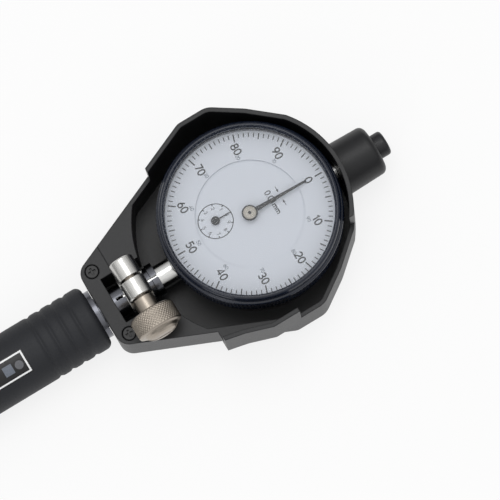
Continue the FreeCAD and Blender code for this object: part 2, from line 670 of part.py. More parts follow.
def case_back_screws():
    screws = []
    head_z = CASE_BACK_Z + BACK_RIM
    seat_z = head_z + BACK_SCREW_HEAD_H
    end_z = CASE_BASE_Z + 4.0
    for angle in back_screw_angles():
        x, y = polar(BACK_SCREW_CIRCLE_R, angle)
        screw = turned_z([(0, head_z), (BACK_SCREW_HEAD_R - 0.2, head_z), (BACK_SCREW_HEAD_R, head_z + 0.2),
                          (BACK_SCREW_HEAD_R, seat_z), (BACK_SCREW_R, seat_z), (BACK_SCREW_R, end_z), (0, end_z)],
                         x, y)
        screws.append(screw)
    return Part.makeCompound(screws)


def indicator_stem():
    """The stem that the holder clamps, bored for the spindle and let into the case wall."""
    stem = turned_y([(SPINDLE_R + SLIDE_CLEARANCE, STEM_END_Y), (STEM_R - 0.3, STEM_END_Y),
                     (STEM_R, STEM_END_Y + 0.3), (STEM_R, -CASE_R), (STEM_R - 0.8, -CASE_R),
                     (STEM_R - 0.8, -CASE_INNER_R), (SPINDLE_R + SLIDE_CLEARANCE, -CASE_INNER_R)])
    return stem.cut(cylinder_z(CASE_R, 0, GUARD_WALL_Z).cut(cylinder_y(STEM_R - 0.8, -CASE_R - 5, 0)))


def top_bush():
    """The upper guide of the spindle, let into the case wall."""
    bush = turned_y([(SPINDLE_R + SLIDE_CLEARANCE, CASE_INNER_R), (TOP_BUSH_R - 0.8, CASE_INNER_R),
                     (TOP_BUSH_R - 0.8, CASE_R - 1.0), (TOP_BUSH_R, CASE_R - 1.0), (TOP_BUSH_R, TOP_BUSH_END_Y),
                     (SPINDLE_R + SLIDE_CLEARANCE, TOP_BUSH_END_Y)])
    return bush.cut(cylinder_z(CASE_R, 0, GUARD_WALL_Z).cut(cylinder_y(TOP_BUSH_R - 0.8, 0, CASE_R + 5)))


def dust_cap():
    """The hollow cap screwed over the top bush, with a rounded end."""
    edge = [(DUST_CAP_R - DUST_CAP_EDGE_R * (1 - math.cos(a)),
             DUST_CAP_TOP_Y - DUST_CAP_EDGE_R * (1 - math.sin(a))) for a in [math.radians(22.5 * i) for i in range(5)]]
    cap = turned_y([(0, DUST_CAP_BASE_Y), (DUST_CAP_R, DUST_CAP_BASE_Y)] + edge + [(0, DUST_CAP_TOP_Y)])
    cap = cap.cut(cylinder_y(TOP_BUSH_R, DUST_CAP_BASE_Y - 1, TOP_BUSH_END_Y))
    return cap.cut(cylinder_y(SPINDLE_R + 0.6, TOP_BUSH_END_Y, DUST_CAP_TOP_Y - DUST_CAP_WALL))


# --- Indicator: bezel and dial ---------------------------------------------------------------------------------------------
def bezel():
    """The turning bezel: a running bore on the case, a shelf over the scale and a crystal groove."""
    bore = CASE_R + SLIDE_CLEARANCE
    groove = SNAP_RING_WIRE / 2 + 0.15
    ring_out = bore + 0.55
    crystal_top = CRYSTAL_Z + CRYSTAL_THICKNESS
    profile = [(bore, BEZEL_BASE_Z), (BEZEL_R - 0.5, BEZEL_BASE_Z), (BEZEL_R, BEZEL_BASE_Z + 0.5),
               (BEZEL_R, BEZEL_STEP_Z - 0.5), (BEZEL_R - 0.4, BEZEL_STEP_Z), (BEZEL_STEP_R, BEZEL_STEP_Z),
               (BEZEL_STEP_R, BEZEL_TOP_Z - 1.0), (BEZEL_STEP_R - 0.6, BEZEL_TOP_Z - 0.1),
               (BEZEL_STEP_R - 1.0, BEZEL_TOP_Z), (BEZEL_OPENING_R + 0.4, BEZEL_TOP_Z - 0.2),
               (BEZEL_OPENING_R, BEZEL_TOP_Z - 0.7), (BEZEL_OPENING_R, crystal_top),
               (CRYSTAL_GROOVE_R, crystal_top), (CRYSTAL_GROOVE_R, CRYSTAL_Z), (SHELF_R, CRYSTAL_Z),
               (SHELF_R, SCALE_TOP_Z), (bore, SCALE_TOP_Z), (bore, SNAP_RING_Z + groove),
               (ring_out, SNAP_RING_Z + groove), (ring_out, SNAP_RING_Z - groove), (bore, SNAP_RING_Z - groove)]
    ring = turned_z(profile)
    outer = BEZEL_R + 1.0
    step = 2 * math.pi / BEZEL_FLUTES
    knurl = []
    for i in range(BEZEL_FLUTES):
        for radius, share in ((BEZEL_R + 0.001, -0.25), (BEZEL_R - BEZEL_FLUTE_DEPTH, 0.0), (BEZEL_R + 0.001, 0.25)):
            knurl.append((radius * math.cos(step * (i + share)), radius * math.sin(step * (i + share))))
    band = cylinder_z(outer, BEZEL_KNURL_BASE_Z, BEZEL_KNURL_TOP_Z)
    return ring.cut(band.cut(prism(knurl, BEZEL_KNURL_BASE_Z - 1, BEZEL_KNURL_TOP_Z + 1)))


def crystal():
    return cylinder_z(CRYSTAL_GROOVE_R, CRYSTAL_Z, CRYSTAL_Z + CRYSTAL_THICKNESS)


def scale_ring():
    ring = cylinder_z(CASE_R + SLIDE_CLEARANCE, SCALE_BASE_Z, SCALE_TOP_Z)
    return ring.cut(cylinder_z(SCALE_HOLE_R, 0, GUARD_WALL_Z))


def bezel_snap_ring():
    """The open wire ring that holds the bezel on the case."""
    half = SNAP_RING_WIRE / 2
    middle = CASE_R - 0.1
    ring = turned_z([(middle - half, SNAP_RING_Z - half), (middle + half, SNAP_RING_Z - half),
                     (middle + half, SNAP_RING_Z + half), (middle - half, SNAP_RING_Z + half)])
    reach = 2 * CASE_R
    x0, y0 = polar(reach, 270 - SNAP_RING_GAP / 2)
    x1, y1 = polar(reach, 270 + SNAP_RING_GAP / 2)
    return ring.cut(prism([(0, 0), (x0, y0), (x1, y1)], 0, GUARD_WALL_Z))


def dial_plate():
    """The fixed middle of the dial, just under the turning scale ring."""
    plate = cylinder_z(DIAL_R, DIAL_TOP_Z - DIAL_THICKNESS, DIAL_TOP_Z)
    plate = plate.cut(cylinder_z(ARBOR_R + 0.4, 0, GUARD_WALL_Z))
    return plate.cut(cylinder_z(ARBOR_R + 0.4, 0, GUARD_WALL_Z, COUNTER_X, COUNTER_Y))


# --- Indicator: movement -----------------------------------------------------------------------------------------------------
def movement_holes(shape):
    """Pivot holes for the three arbors."""
    for x, y in ((0, 0), (COUNTER_X, COUNTER_Y), (TAKE_UP_X, TAKE_UP_Y)):
        shape = shape.cut(cylinder_z(ARBOR_R + PIVOT_CLEARANCE, 0, GUARD_WALL_Z, x, y))
    return shape


def plate_blank(z0):
    """A round plate trimmed clear of the case's bosses."""
    plate = cylinder_z(PLATE_R, z0, z0 + PLATE_THICKNESS)
    return plate


def lower_plate():
    """The lower movement plate with its pillars and the feet that stand on the back of the case."""
    plate = plate_blank(LOWER_PLATE_Z)
    posts = []
    for angle in PILLAR_ANGLES:
        x, y = polar(PILLAR_CIRCLE_R, angle)
        posts.append(cylinder_z(PILLAR_R, CASE_BASE_Z, UPPER_PLATE_Z, x, y))
    plate = around([plate] + posts)
    for angle in PILLAR_ANGLES:
        x, y = polar(PILLAR_CIRCLE_R, angle)
        plate = plate.cut(cylinder_z(PLATE_SCREW_R, UPPER_PLATE_Z - 4.0, UPPER_PLATE_Z + 1, x, y))
    return movement_holes(plate)


def upper_plate():
    """The upper movement plate with three posts that carry the dial."""
    plate = plate_blank(UPPER_PLATE_Z)
    posts = []
    for angle in DIAL_POST_ANGLES:
        x, y = polar(PILLAR_CIRCLE_R, angle)
        posts.append(cylinder_z(1.0, UPPER_PLATE_Z, DIAL_TOP_Z - DIAL_THICKNESS, x, y))
    plate = around([plate] + posts)
    for angle in PILLAR_ANGLES:
        x, y = polar(PILLAR_CIRCLE_R, angle)
        plate = plate.cut(cylinder_z(PLATE_SCREW_R, 0, GUARD_WALL_Z, x, y))
    return movement_holes(plate)


def movement_screws():
    screws = []
    for angle in PILLAR_ANGLES:
        x, y = polar(PILLAR_CIRCLE_R, angle)
        screws.append(turned_z([(0, UPPER_PLATE_TOP_Z - 4.0), (PLATE_SCREW_R, UPPER_PLATE_TOP_Z - 4.0),
                                (PLATE_SCREW_R, UPPER_PLATE_TOP_Z), (PLATE_SCREW_HEAD_R, UPPER_PLATE_TOP_Z),
                                (PLATE_SCREW_HEAD_R, UPPER_PLATE_TOP_Z + 0.8), (0, UPPER_PLATE_TOP_Z + 0.8)], x, y))
    return Part.makeCompound(screws)


def centre_bridge():
    """The bridge over the spindle that carries the lower pivot of the pointer's arbor."""
    half, foot_x = 1.6, 6.2
    z0 = AXIS_Z + RACK_BODY_R + 0.25
    z1 = z0 + 0.9
    bridge = block(-foot_x, foot_x, -half, half, z0, z1)
    legs = [block(x - 0.9, x + 0.9, -half, half, LOWER_PLATE_Z + PLATE_THICKNESS, z0 + 0.1)
            for x in (-foot_x + 0.9, foot_x - 0.9)]
    return around([bridge] + legs).cut(cylinder_z(ARBOR_R + PIVOT_CLEARANCE, 0, GUARD_WALL_Z))


def counter_gear():
    """The counter arbor: rack pinion below, hundred-tooth gear above, and its pivots."""
    mesh_angle = math.atan2(-COUNTER_Y, -COUNTER_X)
    pinion = prism(gear_points(RACK_TEETH_PER_TURN, RACK_MODULE, COUNTER_X, COUNTER_Y, 0.0),
                   AXIS_Z - 1.4, AXIS_Z + 1.4)
    wheel = prism(gear_points(GEAR_TEETH, TRAIN_MODULE, COUNTER_X, COUNTER_Y, mesh_angle),
                  GEAR_Z, GEAR_Z + GEAR_THICKNESS)
    arbor = cylinder_z(ARBOR_R, LOWER_PLATE_Z + 0.1, COUNTER_HAND_Z, COUNTER_X, COUNTER_Y)
    hub = cylinder_z(1.3, AXIS_Z + 1.4, UPPER_PLATE_Z - 0.3, COUNTER_X, COUNTER_Y)
    wheel_gear = around([pinion, wheel, arbor, hub])
    lightening = cylinder_z(2.1, GEAR_Z - 1, GEAR_Z + GEAR_THICKNESS + 1, COUNTER_X + 5.6, COUNTER_Y)
    for hole in ring_of(lightening, 5, V(COUNTER_X, COUNTER_Y, 0), Z_DIR, 18.0):
        wheel_gear = wheel_gear.cut(hole)
    return wheel_gear


def centre_pinion():
    """The pointer's arbor with its ten-tooth pinion."""
    mesh_angle = math.atan2(COUNTER_Y, COUNTER_X) + math.pi / PINION_TEETH
    pinion = prism(gear_points(PINION_TEETH, TRAIN_MODULE, 0, 0, mesh_angle), GEAR_Z - 0.2, UPPER_PLATE_Z - 0.3)
    return pinion.fuse(cylinder_z(ARBOR_R, AXIS_Z + RACK_BODY_R + 0.3, POINTER_Z)).removeSplitter()


def take_up_gear():
    """The gear that the hairspring turns to take up the play in the train."""
    to_centre = math.atan2(-TAKE_UP_Y, -TAKE_UP_X)
    pinion_phase = math.atan2(COUNTER_Y, COUNTER_X) + math.pi / PINION_TEETH
    offset = (math.radians(TAKE_UP_ANGLE) - pinion_phase) / (2 * math.pi / PINION_TEETH)
    share = offset - math.floor(offset)
    phase = to_centre + (0.5 + share) * 2 * math.pi / TAKE_UP_TEETH
    wheel = prism(gear_points(TAKE_UP_TEETH, TRAIN_MODULE, TAKE_UP_X, TAKE_UP_Y, phase),
                  GEAR_Z, GEAR_Z + GEAR_THICKNESS)
    arbor = cylinder_z(ARBOR_R, LOWER_PLATE_Z + 0.1, UPPER_PLATE_TOP_Z - 0.1, TAKE_UP_X, TAKE_UP_Y)
    collet = cylinder_z(HAIRSPRING_INNER_R - 0.15, GEAR_Z, UPPER_PLATE_Z - 0.3, TAKE_UP_X, TAKE_UP_Y)
    return around([wheel, arbor, collet])


def hairspring():
    """A flat spiral strip round the take-up gear's collet, pinned at its outer end."""
    steps = int(HAIRSPRING_TURNS * 16)
    inside, outside = [], []
    for i in range(steps + 1):
        share = i / steps
        radius = HAIRSPRING_INNER_R + (HAIRSPRING_OUTER_R - HAIRSPRING_INNER_R) * share
        angle = 2 * math.pi * HAIRSPRING_TURNS * share
        for row, offset in ((inside, 0.0), (outside, HAIRSPRING_STRIP)):
            row.append((TAKE_UP_X + (radius + offset) * math.cos(angle),
                        TAKE_UP_Y + (radius + offset) * math.sin(angle)))
    return prism(inside + outside[::-1], GEAR_Z + GEAR_THICKNESS + 0.3, UPPER_PLATE_Z - 0.4)


def hand(length, root_width, tip_width, hub_r, x, y, z0, thickness, turn):
    """A tapered hand with a round hub, pointing along +Y before it is turned."""
    needle = prism([(-root_width / 2, 0), (root_width / 2, 0), (tip_width / 2, length), (-tip_width / 2, length)],
                   z0, z0 + thickness)
    hub = cylinder_z(hub_r, z0, z0 + 2.2 * thickness)
    shape = needle.fuse(hub).removeSplitter()
    shape = shape.cut(cylinder_z(ARBOR_R, 0, z0 + thickness))
    shape.rotate(V(0, 0, 0), Z_DIR, turn)
    shape.translate(V(x, y, 0))
    return shape


def main_pointer():
    return hand(POINTER_TIP_R, POINTER_ROOT_WIDTH, POINTER_TIP_WIDTH, POINTER_HUB_R, 0, 0,
                POINTER_Z - POINTER_THICKNESS, POINTER_THICKNESS, POINTER_TURN)


def counter_hand():
    return hand(COUNTER_HAND_LENGTH, 0.5, 0.3, COUNTER_HUB_R, COUNTER_X, COUNTER_Y,
                COUNTER_HAND_Z - 0.2, 0.2, 0.0)


# --- Spindle and push rod ----------------------------------------------------------------------------------------------------------
def spindle():
    """The spindle: a round bar with a rack cut into its left side and an arm for the return spring."""
    rack_top, rack_bottom = COUNTER_Y + 5.0, COUNTER_Y - 12.5
    bar = cylinder_y(SPINDLE_R, SPINDLE_TOP_Y, SPINDLE_POINT_Y + 4.5)
    rack = cylinder_y(RACK_BODY_R, rack_top, rack_bottom)
    body = bar.fuse(rack)
    tip_x = RACK_LINE_X - ADDENDUM * RACK_MODULE
    root_x = RACK_LINE_X + DEDENDUM * RACK_MODULE
    body = body.cut(block(tip_x - 2, tip_x, rack_bottom, rack_top, 0, 2 * AXIS_Z))
    first = COUNTER_Y + RACK_PITCH * (math.floor((rack_bottom - COUNTER_Y) / RACK_PITCH) + 1)
    gaps = int((rack_top - first) / RACK_PITCH)
    narrow, wide = RACK_PITCH * (1 - TOOTH_SHARE * 1.44) / 2, RACK_PITCH * (1 - TOOTH_SHARE * 0.44) / 2
    cuts = []
    for i in range(gaps + 1):
        y = first + i * RACK_PITCH
        cuts.append(prism([(root_x, y - narrow), (tip_x - 0.1, y - wide), (tip_x - 0.1, y + wide), (root_x, y + narrow)],
                          AXIS_Z - RACK_BODY_R - 0.1, AXIS_Z + RACK_BODY_R + 0.1))
    body = body.cut(Part.makeCompound(cuts))
    arm_y = SPRING_BOTTOM_Y
    arm = block(0, SPRING_X + 1.2, arm_y - 1.6, arm_y - 0.4, AXIS_Z - 1.0, AXIS_Z + 1.0)
    return body.fuse(arm).removeSplitter()


def spindle_point():
    """The contact point screwed into the spindle's lower end."""
    top = SPINDLE_POINT_Y + 4.5
    return turned_y([(0, SPINDLE_POINT_Y), (0.9, SPINDLE_POINT_Y), (SPINDLE_POINT_R, SPINDLE_POINT_Y + 0.7),
                     (SPINDLE_POINT_R, top), (0, top)])


def push_rod():
    """The long rod between the indicator and the bell crank, with a collar for its spring."""
    collar_top = UPPER_BUSH_Y - ROD_BUSH_LENGTH - ROD_SPRING_LENGTH
    profile = [(0, ROD_TOP_Y), (PUSH_ROD_R, ROD_TOP_Y), (PUSH_ROD_R, collar_top), (ROD_COLLAR_R, collar_top),
               (ROD_COLLAR_R, collar_top - ROD_COLLAR_LENGTH), (PUSH_ROD_R, collar_top - ROD_COLLAR_LENGTH),
               (PUSH_ROD_R, ROD_BOTTOM_Y), (0, ROD_BOTTOM_Y)]
    return turned_y(profile)


def rod_bush(top_y):
    bush = cylinder_y(TUBE_BORE_R, top_y, top_y - ROD_BUSH_LENGTH)
    return bush.cut(cylinder_y(PUSH_ROD_R + SLIDE_CLEARANCE, top_y + 1, top_y - ROD_BUSH_LENGTH - 1))


def rod_spring():
    top = UPPER_BUSH_Y - ROD_BUSH_LENGTH
    return coil(V(0, top, AXIS_Z), V(0, -1, 0), ROD_SPRING_LENGTH, ROD_SPRING_R, ROD_SPRING_WIRE, ROD_SPRING_TURNS)


def spindle_spring():
    """The return spring beside the spindle, from an arm on it down to a post on the lower plate."""
    return coil(V(SPRING_X, SPRING_BOTTOM_Y, SPRING_ANCHOR_Z), Y_DIR, SPRING_TOP_Y - SPRING_BOTTOM_Y,
                SPINDLE_SPRING_R, SPINDLE_SPRING_WIRE, SPINDLE_SPRING_TURNS)


def spring_post():
    """The post on the lower plate that holds the return spring's upper end."""
    post = block(SPRING_X - 1.4, SPRING_X + 1.4, SPRING_TOP_Y, SPRING_TOP_Y + 1.4,
                 LOWER_PLATE_Z + PLATE_THICKNESS, AXIS_Z + 1.6)
    return post


# --- Measuring head --------------------------------------------------------------------------------------------------------------------
def head_body():
    """The head: a flattened round block with a socket, a pocket for the crank and bores across it."""
    body = cylinder_y(HEAD_R, HEAD_TOP_Y, HEAD_BOTTOM_Y)
    body = body.makeChamfer(HEAD_EDGE, [e for e in body.Edges if e.Closed])
    trim = block(-HEAD_HALF_X, HEAD_HALF_X, HEAD_BOTTOM_Y, HEAD_TOP_Y, AXIS_Z - HEAD_HALF_Z, AXIS_Z + HEAD_HALF_Z)
    body = body.common(trim)
    body = body.cut(cylinder_y(TUBE_R, HEAD_TOP_Y + 1, HEAD_TOP_Y - SOCKET_DEPTH))
    body = body.cut(cylinder_y(PUSH_ROD_R + 0.4, HEAD_TOP_Y, POCKET_TOP_Y - 1))
    body = body.cut(block(POCKET_LEFT_X, POCKET_RIGHT_X, POCKET_BOTTOM_Y, POCKET_TOP_Y,
                          AXIS_Z - POCKET_FLOOR, AXIS_Z + 2 * HEAD_R))
    body = body.cut(block(-HEAD_R, HEAD_R, POCKET_BOTTOM_Y - COVER_MARGIN, POCKET_TOP_Y + COVER_MARGIN,
                          COVER_Z, AXIS_Z + 2 * HEAD_R))
    body = body.cut(cylinder_x(CONTACT_BUSH_R, -HEAD_R, POCKET_LEFT_X + 1, MEASURE_Y))
    body = body.cut(cylinder_x(ANVIL_R, POCKET_RIGHT_X - 1, HEAD_R, MEASURE_Y))
    body = body.cut(cylinder_z(CRANK_PIN_R, AXIS_Z - POCKET_FLOOR - 2.5, AXIS_Z, -CRANK_ARM, CRANK_Y))
    for y, z in guide_pin_places():
        deep = -HEAD_HALF_X + GUIDE_SPRING_BORE_DEPTH
        body = body.cut(cylinder_x(GUIDE_SPRING_BORE_R, -HEAD_R, deep, y, z))
        body = body.cut(cylinder_x(GUIDE_PIN_R + SLIDE_CLEARANCE, -HEAD_R, HEAD_HALF_X - 4.0, y, z))
    for y in cover_screw_places():
        body = body.cut(cylinder_z(COVER_SCREW_R, COVER_Z - 5.0, COVER_Z + 1, COVER_SCREW_X, y))
    return body


def guide_pin_places():
    return [(MEASURE_Y + side * GUIDE_PIN_SPREAD, AXIS_Z - GUIDE_PIN_DROP) for side in (-1, 1)]


def cover_screw_places():
    return [POCKET_BOTTOM_Y - COVER_MARGIN + 3.0, POCKET_TOP_Y + COVER_MARGIN - 3.0]


def head_cover():
    cover = block(-COVER_HALF_X - 1, COVER_HALF_X, POCKET_BOTTOM_Y - COVER_MARGIN, POCKET_TOP_Y + COVER_MARGIN,
                  COVER_Z, COVER_Z + COVER_THICKNESS)
    cover = cover.makeChamfer(0.4, [e for e in cover.Edges if abs(e.BoundBox.ZMin - COVER_Z - COVER_THICKNESS) < 0.01])
    for y in cover_screw_places():
        cover = cover.cut(cylinder_z(COVER_SCREW_R, 0, GUARD_WALL_Z, COVER_SCREW_X, y))
    return cover


def head_cover_screws():
    screws = []
    top = COVER_Z + COVER_THICKNESS
    for y in cover_screw_places():
        screw = turned_z([(0, COVER_Z - 4.5), (COVER_SCREW_R, COVER_Z - 4.5), (COVER_SCREW_R, top),
                          (COVER_SCREW_HEAD_R, top), (COVER_SCREW_HEAD_R - 0.3, top + 0.8), (0, top + 0.8)],
                         COVER_SCREW_X, y)
        screws.append(screw.cut(cross_cut(COVER_SCREW_X, y, top + 0.8, CROSS_SPAN, CROSS_WIDTH, 0.5)))
    return Part.makeCompound(screws)


def crank_pin():
    return cylinder_z(CRANK_PIN_R, AXIS_Z - POCKET_FLOOR - 2.5, COVER_Z, -CRANK_ARM, CRANK_Y)


def bell_crank():
    """The right-angle crank: a hub on the pin and two round-nosed arms of one length."""
    z0, z1 = AXIS_Z - CRANK_THICKNESS / 2, AXIS_Z + CRANK_THICKNESS / 2
    hub = cylinder_z(CRANK_HUB_R, z0, z1, -CRANK_ARM, CRANK_Y)
    rod_nose = cylinder_z(CRANK_NOSE_R, z0, z1, 0, CRANK_Y)
    plunger_nose = cylinder_z(CRANK_NOSE_R, z0, z1, -CRANK_ARM, MEASURE_Y)
    rod_arm = block(-CRANK_ARM, 0, CRANK_Y - CRANK_ARM_HALF, CRANK_Y + CRANK_ARM_HALF, z0, z1)
    plunger_arm = block(-CRANK_ARM - CRANK_ARM_HALF, -CRANK_ARM + CRANK_ARM_HALF, MEASURE_Y, CRANK_Y, z0, z1)
    crank = around([hub, rod_nose, plunger_nose, rod_arm, plunger_arm])
    return crank.cut(cylinder_z(CRANK_PIN_R + PIVOT_CLEARANCE, 0, GUARD_WALL_Z, -CRANK_ARM, CRANK_Y))


def contact_bush():
    bush = cylinder_x(CONTACT_BUSH_R, -HEAD_HALF_X, POCKET_LEFT_X, MEASURE_Y)
    return bush.cut(cylinder_x(PLUNGER_R + SLIDE_CLEARANCE, -HEAD_R, 0, MEASURE_Y))


def contact_plunger():
    """The measuring plunger: a nose on the crank, a round body and a neck for the tip."""
    shoulder = PLUNGER_END_X - PLUNGER_NOSE_LENGTH
    neck = -HALF_SPAN + 2.6
    return turned_x([(0, PLUNGER_END_X), (PLUNGER_NOSE_R, PLUNGER_END_X), (PLUNGER_NOSE_R, shoulder),
                     (PLUNGER_R, shoulder), (PLUNGER_R, neck), (PLUNGER_R - 0.6, neck - 1.0), (0, neck - 1.0)],
                    MEASURE_Y)


def contact_tip():
    """The hard round tip of the plunger."""
    return measuring_tip(-1, -HALF_SPAN + 1.6)


def measuring_tip(side, seat):
    """A hard ball tip, seated flat on the piece that carries it."""
    centre = side * (HALF_SPAN - TIP_BALL_R)
    ball = Part.makeSphere(TIP_BALL_R, V(centre, MEASURE_Y, AXIS_Z))
    far = 2 * HALF_SPAN
    kept = block(-far, seat, MEASURE_Y - far, MEASURE_Y + far, -far, far) if side < 0 else \
        block(seat, far, MEASURE_Y - far, MEASURE_Y + far, -far, far)
    return ball.common(kept)


def anvil():
    """The interchangeable anvil: a shank in the head, a flange and a stepped tip."""
    flange_end = HEAD_HALF_X + ANVIL_FLANGE_THICKNESS
    neck = HALF_SPAN - 2.6
    return turned_x([(0, POCKET_RIGHT_X + 0.8), (ANVIL_R, POCKET_RIGHT_X + 0.8), (ANVIL_R, HEAD_HALF_X),
                     (ANVIL_FLANGE_R, HEAD_HALF_X), (ANVIL_FLANGE_R, flange_end), (ANVIL_TIP_R, flange_end),
                     (ANVIL_TIP_R, neck), (ANVIL_TIP_R - 0.5, neck + 1.0), (0, neck + 1.0)], MEASURE_Y)


def anvil_tip():
    return measuring_tip(1, HALF_SPAN - 1.6)


def anvil_nut():
    """The hexagonal nut that locks the anvil."""
    start = HEAD_HALF_X + ANVIL_FLANGE_THICKNESS
    corners = [V(start, MEASURE_Y + ANVIL_NUT_R * math.cos(math.radians(60 * i + 30)),
                 AXIS_Z + ANVIL_NUT_R * math.sin(math.radians(60 * i + 30))) for i in range(6)]
    nut = Part.Face(Part.makePolygon(corners + corners[:1])).extrude(V(ANVIL_NUT_THICKNESS, 0, 0))
    crown = turned_x([(0, start), (ANVIL_NUT_R, start), (ANVIL_NUT_R, start + ANVIL_NUT_THICKNESS - 0.9),
                      (ANVIL_NUT_R - 0.9, start + ANVIL_NUT_THICKNESS), (0, start + ANVIL_NUT_THICKNESS)], MEASURE_Y)
    return nut.common(crown).cut(cylinder_x(ANVIL_TIP_R, 0, 2 * HALF_SPAN, MEASURE_Y))


def centring_guide():
    """The sprung bridge beside the plunger: a waisted plate, two round shoes and two pins."""
    inner = GUIDE_PLATE_X + GUIDE_PLATE_THICKNESS
    z0, z1 = AXIS_Z - GUIDE_HALF_Z, AXIS_Z + GUIDE_HALF_Z
    plate = block(GUIDE_PLATE_X, inner, MEASURE_Y - GUIDE_HALF_Y, MEASURE_Y + GUIDE_HALF_Y,
                  AXIS_Z - GUIDE_PIN_DROP - 2.4, AXIS_Z + GUIDE_WAIST_HALF_Y)
    waist = block(GUIDE_PLATE_X, inner, MEASURE_Y - GUIDE_WAIST_HALF_Y, MEASURE_Y + GUIDE_WAIST_HALF_Y, z0, z1)
    parts = [plate, waist]
    for side in (-1, 1):
        z = AXIS_Z + side * (GUIDE_HALF_Z - GUIDE_SHOE_R)
        y0, y1 = MEASURE_Y - GUIDE_WAIST_HALF_Y, MEASURE_Y + GUIDE_WAIST_HALF_Y
        parts.append(block(-GUIDE_REACH + GUIDE_SHOE_R, GUIDE_PLATE_X, y0, y1, z - GUIDE_SHOE_R, z + GUIDE_SHOE_R))
        parts.append(cylinder_y(GUIDE_SHOE_R, y0, y1, -GUIDE_REACH + GUIDE_SHOE_R, z))
    for y, z in guide_pin_places():
        parts.append(cylinder_x(GUIDE_PIN_R, inner, inner + GUIDE_PIN_LENGTH, y, z))
    guide = around(parts)
    return guide.cut(cylinder_x(PLUNGER_R + 0.6, -2 * HALF_SPAN, 0, MEASURE_Y))


def guide_springs():
    start = GUIDE_PLATE_X + GUIDE_PLATE_THICKNESS
    length = -HEAD_HALF_X + GUIDE_SPRING_BORE_DEPTH - start
    springs = []
    for y, z in guide_pin_places():
        springs.append(coil(V(start, y, z), X_DIR, length, GUIDE_SPRING_R, GUIDE_SPRING_WIRE, GUIDE_SPRING_TURNS))
    return Part.makeCompound(springs)


def build():
    guard = guard_block()
    lower = lower_plate().fuse(spring_post()).removeSplitter()
    return {
        "guard_body": guard_body(guard),
        "guard_front_cap": guard_front_cap(guard),
        "guard_cap_screws": guard_cap_screws(),
        "holder_sleeve": holder_sleeve(),
        "main_tube": main_tube(),
        "grip": grip(),
        "grip_label": grip_label(),
        "clamp_ring": clamp_ring(),
        "clamp_screw": clamp_screw(),
        "indicator_case": indicator_case(),
        "case_back": case_back(),
        "case_back_screws": case_back_screws(),
        "indicator_stem": indicator_stem(),
        "top_bush": top_bush(),
        "dust_cap": dust_cap(),
        "bezel": bezel(),
        "crystal": crystal(),
        "scale_ring": scale_ring(),
        "bezel_snap_ring": bezel_snap_ring(),
        "dial_plate": dial_plate(),
        "lower_plate": lower,
        "upper_plate": upper_plate(),
        "movement_screws": movement_screws(),
        "centre_bridge": centre_bridge(),
        "counter_gear": counter_gear(),
        "centre_pinion": centre_pinion(),
        "take_up_gear": take_up_gear(),
        "hairspring": hairspring(),
        "main_pointer": main_pointer(),
        "counter_hand": counter_hand(),
        "spindle": spindle(),
        "spindle_point": spindle_point(),
        "spindle_spring": spindle_spring(),
        "push_rod": push_rod(),
        "rod_spring": rod_spring(),
        "upper_rod_bush": rod_bush(UPPER_BUSH_Y),
        "lower_rod_bush": rod_bush(LOWER_BUSH_Y),
        "head_body": head_body(),
        "head_cover": head_cover(),
        "head_cover_screws": head_cover_screws(),
        "crank_pin": crank_pin(),
        "bell_crank": bell_crank(),
        "contact_bush": contact_bush(),
        "contact_plunger": contact_plunger(),
        "contact_tip": contact_tip(),
        "anvil": anvil(),
        "anvil_tip": anvil_tip(),
        "anvil_nut": anvil_nut(),
        "centring_guide": centring_guide(),
        "guide_springs": guide_springs(),
    }


os.makedirs("parts", exist_ok=True)
for name, shape in build().items():
    shape.exportStep("parts/" + name + ".step")
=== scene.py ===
"""Looks of a dial bore gauge: knurled bezel and thumb screw, printed dial, moulded grip, lamps and floor.

Sizes are in millimetres where a name or a property says so, and in metres in the meshes.
+Y runs along the tube towards the top of the dial, +X to the dial's right, +Z out of the dial.
"""
import json
import math

import bpy
import numpy as np
from bpy.props import FloatProperty, FloatVectorProperty, IntProperty, PointerProperty, StringProperty
from mathutils import Matrix, Vector


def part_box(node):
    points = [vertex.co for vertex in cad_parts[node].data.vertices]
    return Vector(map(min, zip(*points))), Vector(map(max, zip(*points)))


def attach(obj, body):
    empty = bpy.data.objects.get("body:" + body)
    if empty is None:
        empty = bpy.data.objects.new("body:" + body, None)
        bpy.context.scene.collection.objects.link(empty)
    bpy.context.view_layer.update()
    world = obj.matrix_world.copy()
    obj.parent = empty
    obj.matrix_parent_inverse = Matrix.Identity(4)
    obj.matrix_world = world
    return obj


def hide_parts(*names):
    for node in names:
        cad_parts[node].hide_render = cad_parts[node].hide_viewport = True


bl_info = {
    "name": "Dial Bore Gauge Looks",
    "version": (1, 0, 0),
    "blender": (4, 5, 0),
    "location": "3D View > Sidebar > Gauge",
    "description": "Dresses a dial bore gauge with its print, knurls, plastics and metals",
    "category": "Object",
}

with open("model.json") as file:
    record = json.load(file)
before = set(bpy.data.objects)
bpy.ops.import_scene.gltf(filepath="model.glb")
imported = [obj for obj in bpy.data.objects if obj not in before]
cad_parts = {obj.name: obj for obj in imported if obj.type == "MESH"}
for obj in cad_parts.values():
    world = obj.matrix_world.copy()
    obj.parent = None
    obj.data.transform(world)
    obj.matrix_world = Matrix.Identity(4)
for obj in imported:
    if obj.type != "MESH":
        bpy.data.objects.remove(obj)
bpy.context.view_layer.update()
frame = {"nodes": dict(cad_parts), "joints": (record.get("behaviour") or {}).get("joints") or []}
MM = 0.001
LIFT = 0.02 * MM            # print stands this far over its surface
FLOOR_GLOW = 0.8            # share of the floor's white that shows through its shadow
TAU = 2 * math.pi


# --- Places taken from the frame ---------------------------------------------------------------
def centre_of(node):
    """The middle of a node's box, in metres."""
    low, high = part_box(node)
    return (low + high) / 2


def top_of(node):
    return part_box(node)[1].z


